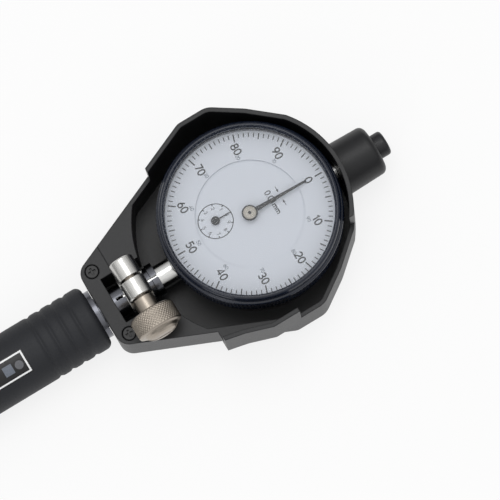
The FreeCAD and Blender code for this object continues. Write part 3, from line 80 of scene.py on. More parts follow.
AXIS_Z = centre_of("main_tube").z
DIAL_CENTRE = Vector((0.0, 0.0, 0.0))
COUNTER_CENTRE = next(Vector(j["pos_m"]) for j in frame["joints"] if j["name"] == "counter_turn")
CLAMP_AXIS = next(Vector(j["pos_m"]) for j in frame["joints"] if j["name"] == "clamp_screw_turn")
SCALE_TOP = top_of("scale_ring")
DIAL_TOP = top_of("dial_plate")


# --- Sizes and colours that a user would change ---------------------------------------------
def size_mm(name, what, default):
    """A property for a size in millimetres."""
    return FloatProperty(name=name, description=what + ", mm", default=default)


def hex_colour(name, what, default):
    """A property for a colour as an sRGB hex text."""
    return StringProperty(name=name, description=what + ", sRGB hex", default=default)


def turn_angle(name, what, degrees):
    """A property for an angle."""
    return FloatProperty(name=name, description=what, default=math.radians(degrees), subtype="ANGLE")


class GAUGE_PG_dial(bpy.types.PropertyGroup):
    """Print on the dial, and its hands."""
    scale_turn: turn_angle("Scale Turn", "Angle of the zero from the stem, clockwise", 1.16)
    divisions: IntProperty(name="Divisions", description="Divisions round the scale", default=100, min=10)
    tick_outer: size_mm("Tick Outer Radius", "Outer end of the ticks", 25.2)
    tick_minor: size_mm("Minor Tick", "Length of a single division's tick", 1.35)
    tick_middle: size_mm("Middle Tick", "Length of every fifth tick", 1.9)
    tick_major: size_mm("Major Tick", "Length of every tenth tick", 2.5)
    minor_width: size_mm("Minor Tick Width", "Width of a single division's tick", 0.29)
    middle_width: size_mm("Middle Tick Width", "Width of every fifth tick", 0.36)
    major_width: size_mm("Major Tick Width", "Width of every tenth tick", 0.42)
    numeral_height: size_mm("Numeral Height", "Height of the scale's numerals", 2.3)
    numeral_weight: size_mm("Numeral Weight", "Stroke of the scale's numerals", 0.45)
    numeral_radius: size_mm("Numeral Radius", "Radius the numerals stand on", 20.5)
    reverse_height: size_mm("Reverse Height", "Height of the small reverse numerals", 1.05)
    reverse_weight: size_mm("Reverse Weight", "Stroke of the small reverse numerals", 0.19)
    reverse_inset: size_mm("Reverse Inset", "Reverse numerals stand this far inside the others", 2.6)
    unit_height: size_mm("Unit Height", "Height of the unit's text", 1.75)
    unit_weight: size_mm("Unit Weight", "Stroke of the unit's text", 0.3)
    unit_y: size_mm("Unit Place", "Height of the unit over the dial's centre", 7.9)
    arrow_y: size_mm("Arrow Place", "Height of the arrows over the dial's centre", 10.8)
    counter_radius: size_mm("Counter Radius", "Outer radius of the counter's ring", 5.52)
    counter_numerals: size_mm("Counter Numerals", "Radius the counter's numerals stand on", 4.0)
    pointer_length: size_mm("Pointer Length", "From the arbor to the pointer's tip", 19.7)
    counter_length: size_mm("Counter Hand Length", "From the arbor to the counter hand's tip", 4.9)
    ink: hex_colour("Ink", "Colour of the print", "0E1014")
    face: hex_colour("Dial Colour", "Colour of the dial", "C6CBD4")


class GAUGE_PG_bezel(bpy.types.PropertyGroup):
    """The turning bezel."""
    knurl_count: IntProperty(name="Knurl Count", description="Ridges round the bezel", default=150, min=12)
    knurl_depth: size_mm("Knurl Depth", "Depth of the ridges", 0.28)
    colour: hex_colour("Bezel Colour", "Colour of the bezel", "141B2A")


class GAUGE_PG_clamp(bpy.types.PropertyGroup):
    """The clamp and its thumb screw."""
    knurl_count: IntProperty(name="Knurl Starts", description="Diamonds round the thumb screw", default=46, min=8)
    knurl_depth: size_mm("Knurl Depth", "Depth of the diamonds", 0.3)
    slot_width: size_mm("Slot Width", "Width of the screwdriver slot", 1.2)
    knob: hex_colour("Thumb Screw Colour", "Colour of the thumb screw", "A89F94")
    lug: hex_colour("Clamp Colour", "Colour of the clamp's nickel", "D2D1CE")


class GAUGE_PG_grip(bpy.types.PropertyGroup):
    """The moulded grip and its label."""
    groove_count: IntProperty(name="Grooves", description="Finger grooves below the grip's top", default=4, min=0)
    groove_start: size_mm("Groove Start", "From the grip's top to the first groove", 6.0)
    groove_pitch: size_mm("Groove Pitch", "From one groove to the next", 4.15)
    groove_depth: size_mm("Groove Depth", "Depth of the finger grooves", 0.42)
    groove_width: size_mm("Groove Width", "Half width of a groove", 0.62)
    colour: hex_colour("Grip Colour", "Colour of the grip", "1B1D22")
    label_turn: turn_angle("Label Turn", "Angle of the label's middle from the top, towards +X", 15.0)
    label_width: size_mm("Label Width", "Width of the label round the grip", 7.9)
    frame_width: size_mm("Label Frame", "Width of the label's white frame", 0.55)
    frame_margin: size_mm("Label Margin", "Black margin outside the frame", 0.35)


class GAUGE_PG_guard(bpy.types.PropertyGroup):
    """The moulded guard."""
    colour: hex_colour("Guard Colour", "Colour of the guard", "0E0F12")
    edge: size_mm("Edge Radius", "Radius of the moulded edges", 0.45)


class GAUGE_PG_stage(bpy.types.PropertyGroup):
    """Camera, lights and floor."""
    camera_at: FloatVectorProperty(name="Camera Place", description="Place of the camera",
                                   default=(0.20767, -0.06603, 1.01511), subtype="TRANSLATION", unit="LENGTH")
    camera_aim: FloatVectorProperty(name="Camera Aim", description="Point at the middle of the picture",
                                    default=(0.00964, -0.00581, 0.0228), subtype="TRANSLATION", unit="LENGTH")
    top_heading: turn_angle("Top Heading", "Direction on the floor that points up the picture", 148.9)
    lens: FloatProperty(name="Lens", description="Focal length, mm", default=241.16)
    sky: FloatProperty(name="Sky Strength", description="Brightness of the sky overhead", default=1.14)
    horizon: FloatProperty(name="Horizon Strength", description="Brightness of the sky at the horizon",
                           default=0.12)
    key: FloatProperty(name="Key Power", description="Power of the softbox overhead, W", default=1.7)
    fill_share: FloatProperty(name="Fill Share", description="Power of the fill lamp over the key's", default=0.3)


# --- Colour and node helpers -------------------------------------------------------------------
def linear(text, alpha=1.0):
    """An sRGB hex colour as linear RGBA: below 0.04045 it is divided by 12.92, above it is a 2.4 power."""
    channels = [int(text[i:i + 2], 16) / 255 for i in (0, 2, 4)]
    return tuple(c / 12.92 if c <= 0.04045 else ((c + 0.055) / 1.055) ** 2.4 for c in channels) + (alpha,)


def add_node(tree, kind, settings=None, links=None):
    """Add a node, set its sockets and attributes by name, and link named or numbered inputs."""
    made = tree.nodes.new(kind)
    for key, value in (settings or {}).items():
        if isinstance(key, int) or key in made.inputs:
            made.inputs[key].default_value = value
        else:
            setattr(made, key, value)
    for key, source in (links or {}).items():
        tree.links.new(source, made.inputs[key])
    return made


def new_material(name):
    """An empty node material with its output; returns the material, the tree and the output node."""
    material = bpy.data.materials.new(name)
    material.use_nodes = True
    tree = material.node_tree
    tree.nodes.clear()
    return material, tree, add_node(tree, "ShaderNodeOutputMaterial")


def object_coordinates(tree, stretch=(1, 1, 1)):
    """Object coordinates in millimetres, stretched along each axis."""
    place = add_node(tree, "ShaderNodeTexCoord")
    scale = tuple(s / MM for s in stretch)
    return add_node(tree, "ShaderNodeMapping", {"Scale": scale}, {"Vector": place.outputs["Object"]})


def ramp(tree, source, stops):
    """A colour ramp over a factor, from (position, hex or grey) stops."""
    made = add_node(tree, "ShaderNodeValToRGB", links={"Fac": source})
    elements = made.color_ramp.elements
    while len(elements) < len(stops):
        elements.new(0.5)
    for element, (position, value) in zip(elements, stops):
        element.position = position
        element.color = linear(value) if isinstance(value, str) else (value, value, value, 1)
    return made


def shade(hex_text, factor):
    """A hex colour made lighter or darker by a factor."""
    return "".join(f"{min(255, round(int(hex_text[i:i + 2], 16) * factor)):02X}" for i in (0, 2, 4))


# --- Materials ---------------------------------------------------------------------------------
def moulded_plastic(name, colour, roughness, grain_mm, grain_depth_mm, edge_mm, coat=0.0):
    """Injection-moulded plastic: a fine spark-eroded grain, faint mottling and soft edges that catch light.

    The eye gets a black body with a satin sheen overhead and a thin light line along each edge."""
    material, tree, out = new_material(name)
    at = object_coordinates(tree)
    grain = add_node(tree, "ShaderNodeTexNoise", {"Scale": 1 / grain_mm, "Detail": 3.0, "Roughness": 0.6},
                     {"Vector": at.outputs["Vector"]})
    clouds = add_node(tree, "ShaderNodeTexNoise", {"Scale": 0.09, "Detail": 2.0},
                      {"Vector": at.outputs["Vector"]})
    tint = ramp(tree, clouds.outputs["Fac"], [(0.3, shade(colour, 0.94)), (0.7, shade(colour, 1.06))])
    polish = ramp(tree, grain.outputs["Fac"], [(0.3, roughness - 0.05), (0.7, roughness + 0.06)])
    soft = add_node(tree, "ShaderNodeBevel", {"samples": 6, "Radius": edge_mm * MM})
    bump = add_node(tree, "ShaderNodeBump", {"Strength": 0.6, "Distance": grain_depth_mm * MM},
                    {"Height": grain.outputs["Fac"], "Normal": soft.outputs["Normal"]})
    shader = add_node(tree, "ShaderNodeBsdfPrincipled",
                      {"IOR": 1.46, "Coat Weight": coat, "Coat Roughness": 0.2},
                      {"Base Color": tint.outputs["Color"], "Roughness": polish.outputs["Color"],
                       "Normal": bump.outputs["Normal"]})
    tree.links.new(shader.outputs["BSDF"], out.inputs["Surface"])
    return material


def machined_metal(name, colour, roughness, stretch, edge_mm=0.15, mark_depth_mm=0.004):
    """Turned or plated metal: fine tool marks drawn out one way, a little spread in polish and soft edges.

    The eye gets bright bands under the sky, dark ones towards the horizon, and streaks along the marks."""
    material, tree, out = new_material(name)
    at = object_coordinates(tree, stretch)
    marks = add_node(tree, "ShaderNodeTexNoise", {"Scale": 1.0, "Detail": 4.0, "Roughness": 0.65},
                     {"Vector": at.outputs["Vector"]})
    tint = ramp(tree, marks.outputs["Fac"], [(0.35, shade(colour, 0.95)), (0.65, shade(colour, 1.03))])
    polish = ramp(tree, marks.outputs["Fac"], [(0.3, max(roughness - 0.06, 0.02)), (0.7, roughness + 0.07)])
    soft = add_node(tree, "ShaderNodeBevel", {"samples": 6, "Radius": edge_mm * MM})
    bump = add_node(tree, "ShaderNodeBump", {"Strength": 0.5, "Distance": mark_depth_mm * MM},
                    {"Height": marks.outputs["Fac"], "Normal": soft.outputs["Normal"]})
    shader = add_node(tree, "ShaderNodeBsdfPrincipled", {"Metallic": 1.0},
                      {"Base Color": tint.outputs["Color"], "Roughness": polish.outputs["Color"],
                       "Normal": bump.outputs["Normal"]})
    tree.links.new(shader.outputs["BSDF"], out.inputs["Surface"])
    return material


def printed_ink(name, colour):
    """Screen-printed enamel ink: flat, even and slightly glossy, a little mottled at its edges."""
    material, tree, out = new_material(name)
    at = object_coordinates(tree)
    speck = add_node(tree, "ShaderNodeTexNoise", {"Scale": 4.0, "Detail": 1.0},
                     {"Vector": at.outputs["Vector"]})
    tint = ramp(tree, speck.outputs["Fac"], [(0.3, colour), (0.8, shade(colour, 1.2))])
    shader = add_node(tree, "ShaderNodeBsdfPrincipled", {"Roughness": 0.45},
                      {"Base Color": tint.outputs["Color"]})
    tree.links.new(shader.outputs["BSDF"], out.inputs["Surface"])
    return material


def dial_enamel(name, colour):
    """Matt-lacquered aluminium sheet: near-white with a fine even tooth."""
    material, tree, out = new_material(name)
    at = object_coordinates(tree)
    tooth = add_node(tree, "ShaderNodeTexNoise", {"Scale": 5.0, "Detail": 2.0},
                     {"Vector": at.outputs["Vector"]})
    tint = ramp(tree, tooth.outputs["Fac"], [(0.3, shade(colour, 0.985)), (0.7, shade(colour, 1.01))])
    bump = add_node(tree, "ShaderNodeBump", {"Strength": 0.25, "Distance": 0.01 * MM},
                    {"Height": tooth.outputs["Fac"]})
    shader = add_node(tree, "ShaderNodeBsdfPrincipled", {"Roughness": 0.55},
                      {"Base Color": tint.outputs["Color"], "Normal": bump.outputs["Normal"]})
    tree.links.new(shader.outputs["BSDF"], out.inputs["Surface"])
    return material


def clear_acrylic(name, colour):
    """Clear acrylic crystal: nearly invisible, with a faint sheen."""
    material, tree, out = new_material(name)
    at = object_coordinates(tree)
    film = add_node(tree, "ShaderNodeTexNoise", {"Scale": 0.3}, {"Vector": at.outputs["Vector"]})
    polish = ramp(tree, film.outputs["Fac"], [(0.3, 0.02), (0.8, 0.05)])
    shader = add_node(tree, "ShaderNodeBsdfPrincipled",
                      {"Base Color": linear(colour), "Alpha": 0.05, "IOR": 1.49},
                      {"Roughness": polish.outputs["Color"]})
    tree.links.new(shader.outputs["BSDF"], out.inputs["Surface"])
    return material


MATERIALS = {}


def material(name):
    """A finish by name, made once. A colour of the form group.property is read from the scene's settings."""
    if name not in MATERIALS:
        make, tint, *rest = FINISHES[name]
        if "." in tint:
            group, key = tint.split(".")
            tint = getattr(settings(group), key)
        rest = [settings("guard").edge if value == "guard.edge" else value for value in rest]
        MATERIALS[name] = make(name, tint, *rest)
    return MATERIALS[name]


def settings(group):
    return getattr(bpy.context.scene, "gauge_" + group)


# Plastics: colour, roughness, grain mm, grain depth mm, edge mm, coat. Metals: colour, roughness, stretch of
# the tool marks along each axis, edge mm, mark depth mm.
FINISHES = {
    "moulded_abs_guard": (moulded_plastic, "guard.colour", 0.42, 0.35, 0.012, "guard.edge"),
    "moulded_abs_bezel": (moulded_plastic, "bezel.colour", 0.26, 0.8, 0.004, 0.12, 0.25),
    "moulded_abs_cap": (moulded_plastic, "121317", 0.4, 0.5, 0.01, 0.3),
    "nitrile_grip": (moulded_plastic, "grip.colour", 0.6, 0.5, 0.05, 0.3),
    "enamelled_case": (moulded_plastic, "0D1017", 0.3, 0.6, 0.004, 0.25, 0.3),
    "black_oxide_screw": (moulded_plastic, "0C0C0E", 0.38, 0.3, 0.004, 0.12),
    "acetal_bush": (moulded_plastic, "C8C5BC", 0.5, 0.4, 0.01, 0.1),
    "label_film": (moulded_plastic, "0D0D0F", 0.35, 0.5, 0.003, 0.05),
    "blued_pointer": (moulded_plastic, "0E1013", 0.5, 0.6, 0.002, 0.04),
    "hub_enamel": (moulded_plastic, "A19C92", 0.4, 0.6, 0.002, 0.05),
    "nickelled_knob": (machined_metal, "clamp.knob", 0.34, (3, 3, 3), 0.1, 0.01),
    "satin_nickel_clamp": (machined_metal, "clamp.lug", 0.26, (0.6, 5, 5), 0.35),
    "gunmetal_holder": (machined_metal, "6C6E74", 0.22, (5, 0.6, 5), 0.25),
    "polished_steel": (machined_metal, "D8D8D6", 0.16, (5, 0.6, 5)),
    "ground_steel": (machined_metal, "C9CACB", 0.27, (5, 0.5, 5)),
    "milled_steel": (machined_metal, "B9BBBD", 0.33, (0.8, 5, 5), 0.3),
    "spring_steel": (machined_metal, "8E9094", 0.3, (4, 4, 4)),
    "clock_brass": (machined_metal, "C9A660", 0.28, (3, 3, 1)),
    "sintered_carbide": (machined_metal, "7E8085", 0.14, (2, 2, 2)),
    "dial_enamel": (dial_enamel, "dial.face"),
    "dial_ink": (printed_ink, "dial.ink"),
    "faint_ink": (printed_ink, "5C626C"),
    "white_ink": (printed_ink, "E4E5E6"),
    "grey_ink": (printed_ink, "55565A"),
    "clear_acrylic": (clear_acrylic, "F2F6FA"),
}

NODE_FINISHES = {
    "moulded_abs_guard": ("guard_body", "guard_front_cap"),
    "moulded_abs_bezel": ("bezel",),
    "moulded_abs_cap": ("dust_cap",),
    "nitrile_grip": ("grip",),
    "enamelled_case": ("indicator_case", "case_back"),
    "black_oxide_screw": ("guard_cap_screws", "case_back_screws", "head_cover_screws"),
    "acetal_bush": ("upper_rod_bush", "lower_rod_bush"),
    "label_film": ("grip_label",),
    "nickelled_knob": ("clamp_screw", "anvil_nut"),
    "satin_nickel_clamp": ("clamp_ring",),
    "gunmetal_holder": ("holder_sleeve",),
    "polished_steel": ("indicator_stem", "top_bush", "movement_screws", "centre_pinion", "spindle",
                       "spindle_point", "push_rod", "crank_pin", "bell_crank", "contact_plunger",
                       "anvil", "centring_guide"),
    "ground_steel": ("main_tube",),
    "milled_steel": ("head_body", "head_cover"),
    "spring_steel": ("bezel_snap_ring", "hairspring", "spindle_spring", "rod_spring", "guide_springs"),
    "clock_brass": ("lower_plate", "upper_plate", "centre_bridge", "counter_gear", "take_up_gear",
                    "contact_bush"),
    "blued_pointer": ("main_pointer", "counter_hand"),
    "sintered_carbide": ("contact_tip", "anvil_tip"),
    "dial_enamel": ("scale_ring", "dial_plate"),
    "clear_acrylic": ("crystal",),
}


# --- Mesh helpers ------------------------------------------------------------------------------
def new_piece(name, vertices, faces, finish, body, smooth=True):
    """A mesh object from arrays, in metres, with one finish, riding on a CAD body."""
    mesh = bpy.data.meshes.new(name)
    mesh.from_pydata(np.asarray(vertices, float), [], [tuple(f) for f in faces])
    mesh.validate()
    if smooth:
        mesh.shade_smooth()
    piece = bpy.data.objects.new(name, mesh)
    bpy.context.scene.collection.objects.link(piece)
    mesh.materials.append(material(finish))
    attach(piece, body)
    return piece


def grid_faces(rows, columns, closed_rows=False, closed_columns=False):
    """Quads over a grid of rows by columns, wrapping round where it is closed."""
    i = np.arange(rows if closed_rows else rows - 1)
    j = np.arange(columns if closed_columns else columns - 1)
    i, j = np.meshgrid(i, j, indexing="ij")
    i2, j2 = (i + 1) % rows, (j + 1) % columns
    quads = np.stack([i * columns + j, i * columns + j2, i2 * columns + j2, i2 * columns + j], -1)
    return quads.reshape(-1, 4)


def turned_grid(profile, segments, radial=None):
    """Points of a closed profile of (radius, along) turned in a circle.

    Row i is the profile's point i. Column j is the angle 2 pi j / segments. The radius may be changed by
    radial(radius, along, angle). Returns radius, along and angle arrays."""
    profile = np.asarray(profile, float)
    angle = np.arange(segments) * TAU / segments
    radius = np.repeat(profile[:, :1], segments, 1)
    along = np.repeat(profile[:, 1:2], segments, 1)
    angle = np.repeat(angle[None, :], len(profile), 0)
    if radial is not None:
        radius = radial(radius, along, angle)
    return radius, along, angle


def refine(profile, step):
    """A profile with points added so that none are further apart than step."""
    points = [np.asarray(profile[0], float)]
    for a, b in zip(profile[:-1], profile[1:]):
        a, b = np.asarray(a, float), np.asarray(b, float)
        count = max(1, int(np.ceil(np.linalg.norm(b - a) / step)))
        points += [a + (b - a) * k / count for k in range(1, count + 1)]
    return np.array(points)


def disc_points(radius, count, x=0.0, y=0.0):
    """Points round a circle."""
    a = np.arange(count) * TAU / count
    return np.stack([x + radius * np.cos(a), y + radius * np.sin(a)], 1)


class FlatPrint:
    """Collects flat shapes at one height, in millimetres, to be made one mesh."""

    def __init__(self, height_m):
        self.height = height_m
        self.points = []
        self.faces = []

    def add(self, points, faces):
        base = sum(len(p) for p in self.points)
        self.points.append(np.asarray(points, float))
        self.faces += [tuple(base + k for k in f) for f in faces]

    def polygon(self, points):
        self.add(points, [range(len(points))])

    def ring(self, inner, outer, count, x=0.0, y=0.0):
        self.add(np.concatenate([disc_points(inner, count, x, y), disc_points(outer, count, x, y)]),
                 [(k, count + k, count + (k + 1) % count, (k + 1) % count) for k in range(count)])

    def stroke(self, path, width):
        """A ribbon along a path: each point is moved half the width to either side, along the mean of the
        normals of the two runs that meet there, lengthened so that the width holds at a corner."""
        path = np.asarray(path, float)
        closed = len(path) > 2 and np.allclose(path[0], path[-1])
        runs = np.diff(path, axis=0)
        runs /= np.linalg.norm(runs, axis=1)[:, None]
        normals = np.stack([-runs[:, 1], runs[:, 0]], 1)
        before = np.vstack([normals[-1] if closed else normals[0], normals])
        after = np.vstack([normals, normals[0] if closed else normals[-1]])
        mean = before + after
        mean /= np.linalg.norm(mean, axis=1)[:, None]
        reach = width / 2 / np.clip((mean * after).sum(1), 0.5, 1)
        offset = mean * reach[:, None]
        count = len(path)
        self.add(np.concatenate([path - offset, path + offset]),
                 [(k, k + 1, count + k + 1, count + k) for k in range(count - 1)])

    def piece(self, name, finish, body, slot=None, warp=None):
        points = np.concatenate(self.points) * MM
        points = np.column_stack([points, np.full(len(points), self.height)])
        if warp is not None:
            points = warp(points)
        return new_piece(name, points, self.faces, finish, body, smooth=False)


def arc_path(cx, cy, rx, ry, start, stop, steps=14):
    """Points along part of an ellipse, angles in degrees."""
    a = np.radians(np.linspace(start, stop, steps))
    return np.stack([cx + rx * np.cos(a), cy + ry * np.sin(a)], 1)


def glyph(character):
    """The strokes of a character, one unit high, drawn with a single line, and its advance."""
    if character == "0":
        return [arc_path(0.31, 0.5, 0.29, 0.5, 90, 450, 29)], 0.80
    if character == "1":
        return [[(0.12, 0.80), (0.34, 1.0), (0.34, 0.0)]], 0.62
    if character == "2":
        return [np.vstack([arc_path(0.30, 0.71, 0.28, 0.29, 165, -38), [(0.02, 0.0), (0.60, 0.0)]])], 0.78
    if character == "3":
        upper, lower = arc_path(0.28, 0.755, 0.24, 0.245, 150, -90), arc_path(0.28, 0.255, 0.29, 0.255, 88, -150)
        return [np.vstack([upper, lower])], 0.78
    if character == "4":
        return [[(0.44, 0.0), (0.44, 1.0), (0.0, 0.26), (0.62, 0.26)]], 0.80
    if character == "5":
        bowl = arc_path(0.28, 0.32, 0.30, 0.32, 125, -145)
        return [np.vstack([[(0.54, 1.0), (0.12, 1.0), (0.07, 0.55)], bowl])], 0.78
    if character == "6":
        return [arc_path(0.31, 0.30, 0.28, 0.30, 180, 540, 25), [(0.03, 0.32), (0.10, 0.56), (0.42, 1.0)]], 0.80
    if character == "7":
        return [[(0.02, 1.0), (0.58, 1.0), (0.20, 0.0)]], 0.74
    if character == "8":
        upper, lower = arc_path(0.31, 0.75, 0.24, 0.25, 90, 450, 23), arc_path(0.31, 0.26, 0.29, 0.26, 90, 450, 25)
        return [upper, lower], 0.80
    if character == "9":
        return [arc_path(0.31, 0.70, 0.28, 0.30, 0, 360, 25), [(0.59, 0.68), (0.52, 0.44), (0.20, 0.0)]], 0.80
    if character == ".":
        return [[(0.06, 0.0), (0.06, 0.12)]], 0.28
    if character == "m":
        humps = [np.vstack([[(x, 0.0)], arc_path(x + 0.19, 0.42, 0.19, 0.22, 180, 0, 9), [(x + 0.38, 0.0)]])
                 for x in (0.04, 0.42)]
        return [[(0.04, 0.62), (0.04, 0.0)]] + humps, 1.02
    raise ValueError("no glyph for " + character)


def write_text(sheet, text, x, y, height, weight, narrow=1.0):
    """Draw a line of text centred on a point, in a sheet of flat print."""
    advance = [glyph(c)[1] for c in text]
    left = x - narrow * height * (sum(advance) - 0.18) / 2
    for character, step in zip(text, advance):
        for path in glyph(character)[0]:
            path = np.asarray(path, float) * (height * narrow, height) + (left, y - height / 2)
            sheet.stroke(path, weight)
        left += narrow * height * step


# --- Dial -------------------------------------------------------------------------------------
def turned(points, turn):
    """Points turned clockwise about the dial's centre."""
    c, s = math.cos(turn), math.sin(turn)
    points = np.asarray(points, float)
    return np.stack([points[..., 0] * c + points[..., 1] * s, points[..., 1] * c - points[..., 0] * s], -1)


def tick(turn, inner, outer, width):
    """The corners of a radial tick at a clockwise angle from the top."""
    corners = [(-width / 2, inner), (width / 2, inner), (width / 2, outer), (-width / 2, outer)]
    return turned(corners, turn)


def numerals(sheet, texts, radius, height, weight, turn):
    """Upright numerals round a circle, at a place and text for each, then all turned together."""
    start = len(sheet.points)
    for place, text in texts:
        x, y = turned((0, radius), place)
        write_text(sheet, text, x, y, height, weight)
    sheet.points[start:] = [turned(points, turn) for points in sheet.points[start:]]


def scale_print(dial):
    """Ticks and numerals of the turning scale."""
    sheet = FlatPrint(SCALE_TOP + LIFT)
    for i in range(dial.divisions):
        size, width = dial.tick_minor, dial.minor_width
        if i % 10 == 0:
            size, width = dial.tick_major, dial.major_width
        elif i % 5 == 0:
            size, width = dial.tick_middle, dial.middle_width
        sheet.polygon(tick(dial.scale_turn + TAU * i / dial.divisions, dial.tick_outer - size,
                           dial.tick_outer, width))
    step = dial.divisions // 10
    places = [TAU * i / 10 for i in range(10)]
    numerals(sheet, [(place, str(i * step)) for i, place in enumerate(places)], dial.numeral_radius,
             dial.numeral_height, dial.numeral_weight, dial.scale_turn)
    sheet.piece("scale_print", "dial_ink", "bezel", "dial_white")
    faint = FlatPrint(SCALE_TOP + LIFT)
    numerals(faint, [(place, str((10 - i) * step)) for i, place in enumerate(places) if i],
             dial.numeral_radius - dial.reverse_inset, dial.reverse_height, dial.reverse_weight, dial.scale_turn)
    faint.piece("scale_reverse_print", "faint_ink", "bezel", "dial_white")


def plate_print(dial):
    """Print on the fixed middle of the dial: unit, arrows and the counter's ring."""
    sheet = FlatPrint(DIAL_TOP + LIFT)
    write_text(sheet, "0.01", -1.35, dial.unit_y, dial.unit_height, dial.unit_weight)
    write_text(sheet, "mm", 2.75, dial.unit_y, dial.unit_height, dial.unit_weight)
    y = dial.arrow_y
    for side in (-1, 1):
        sheet.polygon([(side * 1.25, y), (side * 2.25, y + 0.4), (side * 2.25, y - 0.4)][::side])
        sheet.stroke([(side * 2.2, y), (side * 3.4, y)], 0.2)
    centre = np.array((COUNTER_CENTRE.x, COUNTER_CENTRE.y)) / MM
    outer = dial.counter_radius
    sheet.ring(outer - 0.28, outer, 72, *centre)
    for i in range(10):
        turn = -TAU * i / 10
        sheet.polygon(tick(turn, outer - 0.77, outer - 0.17, 0.3) + centre)
        x, y = turned((0, dial.counter_numerals), turn) + centre
        write_text(sheet, str(i), x, y, 1.0, 0.16)
    sheet.piece("dial_plate_print", "dial_ink", "frame", "dial_white")


def turned_mesh_z(profile, segments, centre, base_z):
    """Points and faces of a profile of (radius, height) in millimetres turned about Z; its ends lie on the axis."""
    radius, along, around = turned_grid(profile, segments)
    points = np.stack([centre.x + radius * MM * np.cos(around), centre.y + radius * MM * np.sin(around),
                       base_z + along * MM], -1).reshape(-1, 3)
    return points, grid_faces(len(profile), segments, closed_columns=True)[:, ::-1]


def hub_profile(radius, height):
    """A low hub: flat foot, rounded shoulder and a dished top."""
    return [(0.0, height * 0.75), (radius * 0.28, height * 0.75), (radius * 0.3, height), (radius * 0.86, height),
            (radius, height * 0.6), (radius, 0.0), (0.0, 0.0)]


def hand_piece(name, body, centre, base_z, blade, hub, turn=0.0):
    """A tapered hand: a flat-bottomed blade with a ridge along its middle, on a round hub.

    The blade is (length, root width, tip width, thickness) and the hub (radius, height). The blade's width
    falls in a straight line from root to tip, and its ridge stands higher than its edges."""
    reach, root, tip, thickness = blade
    t = np.linspace(0.0, 1.0, 12)
    half = (root + (tip - root) * t) / 2
    z = np.zeros_like(t)
    edge = z + thickness * 0.55
    section = [(-half, z), (half, z), (half, edge), (0 * half, z + thickness), (-half, edge)]
    points = np.stack([np.stack([x, reach * t, h], -1) for x, h in section], 1).reshape(-1, 3)
    faces = [tuple(f) for f in grid_faces(len(t), 5, closed_columns=True)[:, ::-1]]
    faces += [tuple(range(5)), tuple(len(points) - 5 + k for k in range(5))[::-1]]
    points[:, :2] = turned(points[:, :2], turn)
    points = points * MM + (centre.x, centre.y, base_z)
    hub_points, hub_faces = turned_mesh_z(hub_profile(*hub), 48, centre, base_z)
    faces += [tuple(len(points) + k for k in f) for f in hub_faces]
    return new_piece(name, np.vstack([points, hub_points]), faces, "blued_pointer", body)


def hub_cap(name, finish, body, centre, base_z, radius, height):
    """A low round cap with a bevelled edge, on a hub."""
    profile = [(0.0, height), (radius * 0.82, height), (radius, height * 0.5), (radius, 0.0), (0.0, 0.0)]
    points, faces = turned_mesh_z(profile, 48, centre, base_z)
    return new_piece(name, points, faces, finish, body)


# --- Operators ---------------------------------------------------------------------------------
class GAUGE_OT_finishes(bpy.types.Operator):
    """Give every CAD node its finish"""
    bl_idname = "gauge.finishes"
    bl_label = "CAD Finishes"

    def execute(self, context):
        for finish, names in NODE_FINISHES.items():
            for name in names:
                node = frame["nodes"][name]
                for place in node.material_slots:
                    place.material = material(finish)
        return {"FINISHED"}


class GAUGE_OT_dial(bpy.types.Operator):
    """Print the scale and the dial, and make the hands"""
    bl_idname = "gauge.dial"
    bl_label = "Dial and Hands"

    def execute(self, context):
        dial = settings("dial")
        scale_print(dial)
        plate_print(dial)
        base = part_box("main_pointer")[0].z
        pointer = hand_piece("main_pointer_blade", "pointer", DIAL_CENTRE, base,
                             (dial.pointer_length, 1.5, 0.62, 0.3), (2.45, 0.5), dial.scale_turn)
        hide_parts("main_pointer")
        hub_cap("main_pointer_hub", "hub_enamel", "pointer", DIAL_CENTRE, base + 0.5 * MM, 2.0, 0.18)
        # painted shade: a small black disc on the hub's top stands in for the shade inside the hub's centre hole
        hub_cap("main_pointer_hole_shade", "black_oxide_screw", "pointer", DIAL_CENTRE, base + 0.68 * MM, 0.5, 0.06)
        hand = hand_piece("counter_hand_blade", "counter", COUNTER_CENTRE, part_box("counter_hand")[0].z,
                          (dial.counter_length, 0.42, 0.26, 0.2), (1.35, 0.45))
        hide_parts("counter_hand")
        return {"FINISHED"}


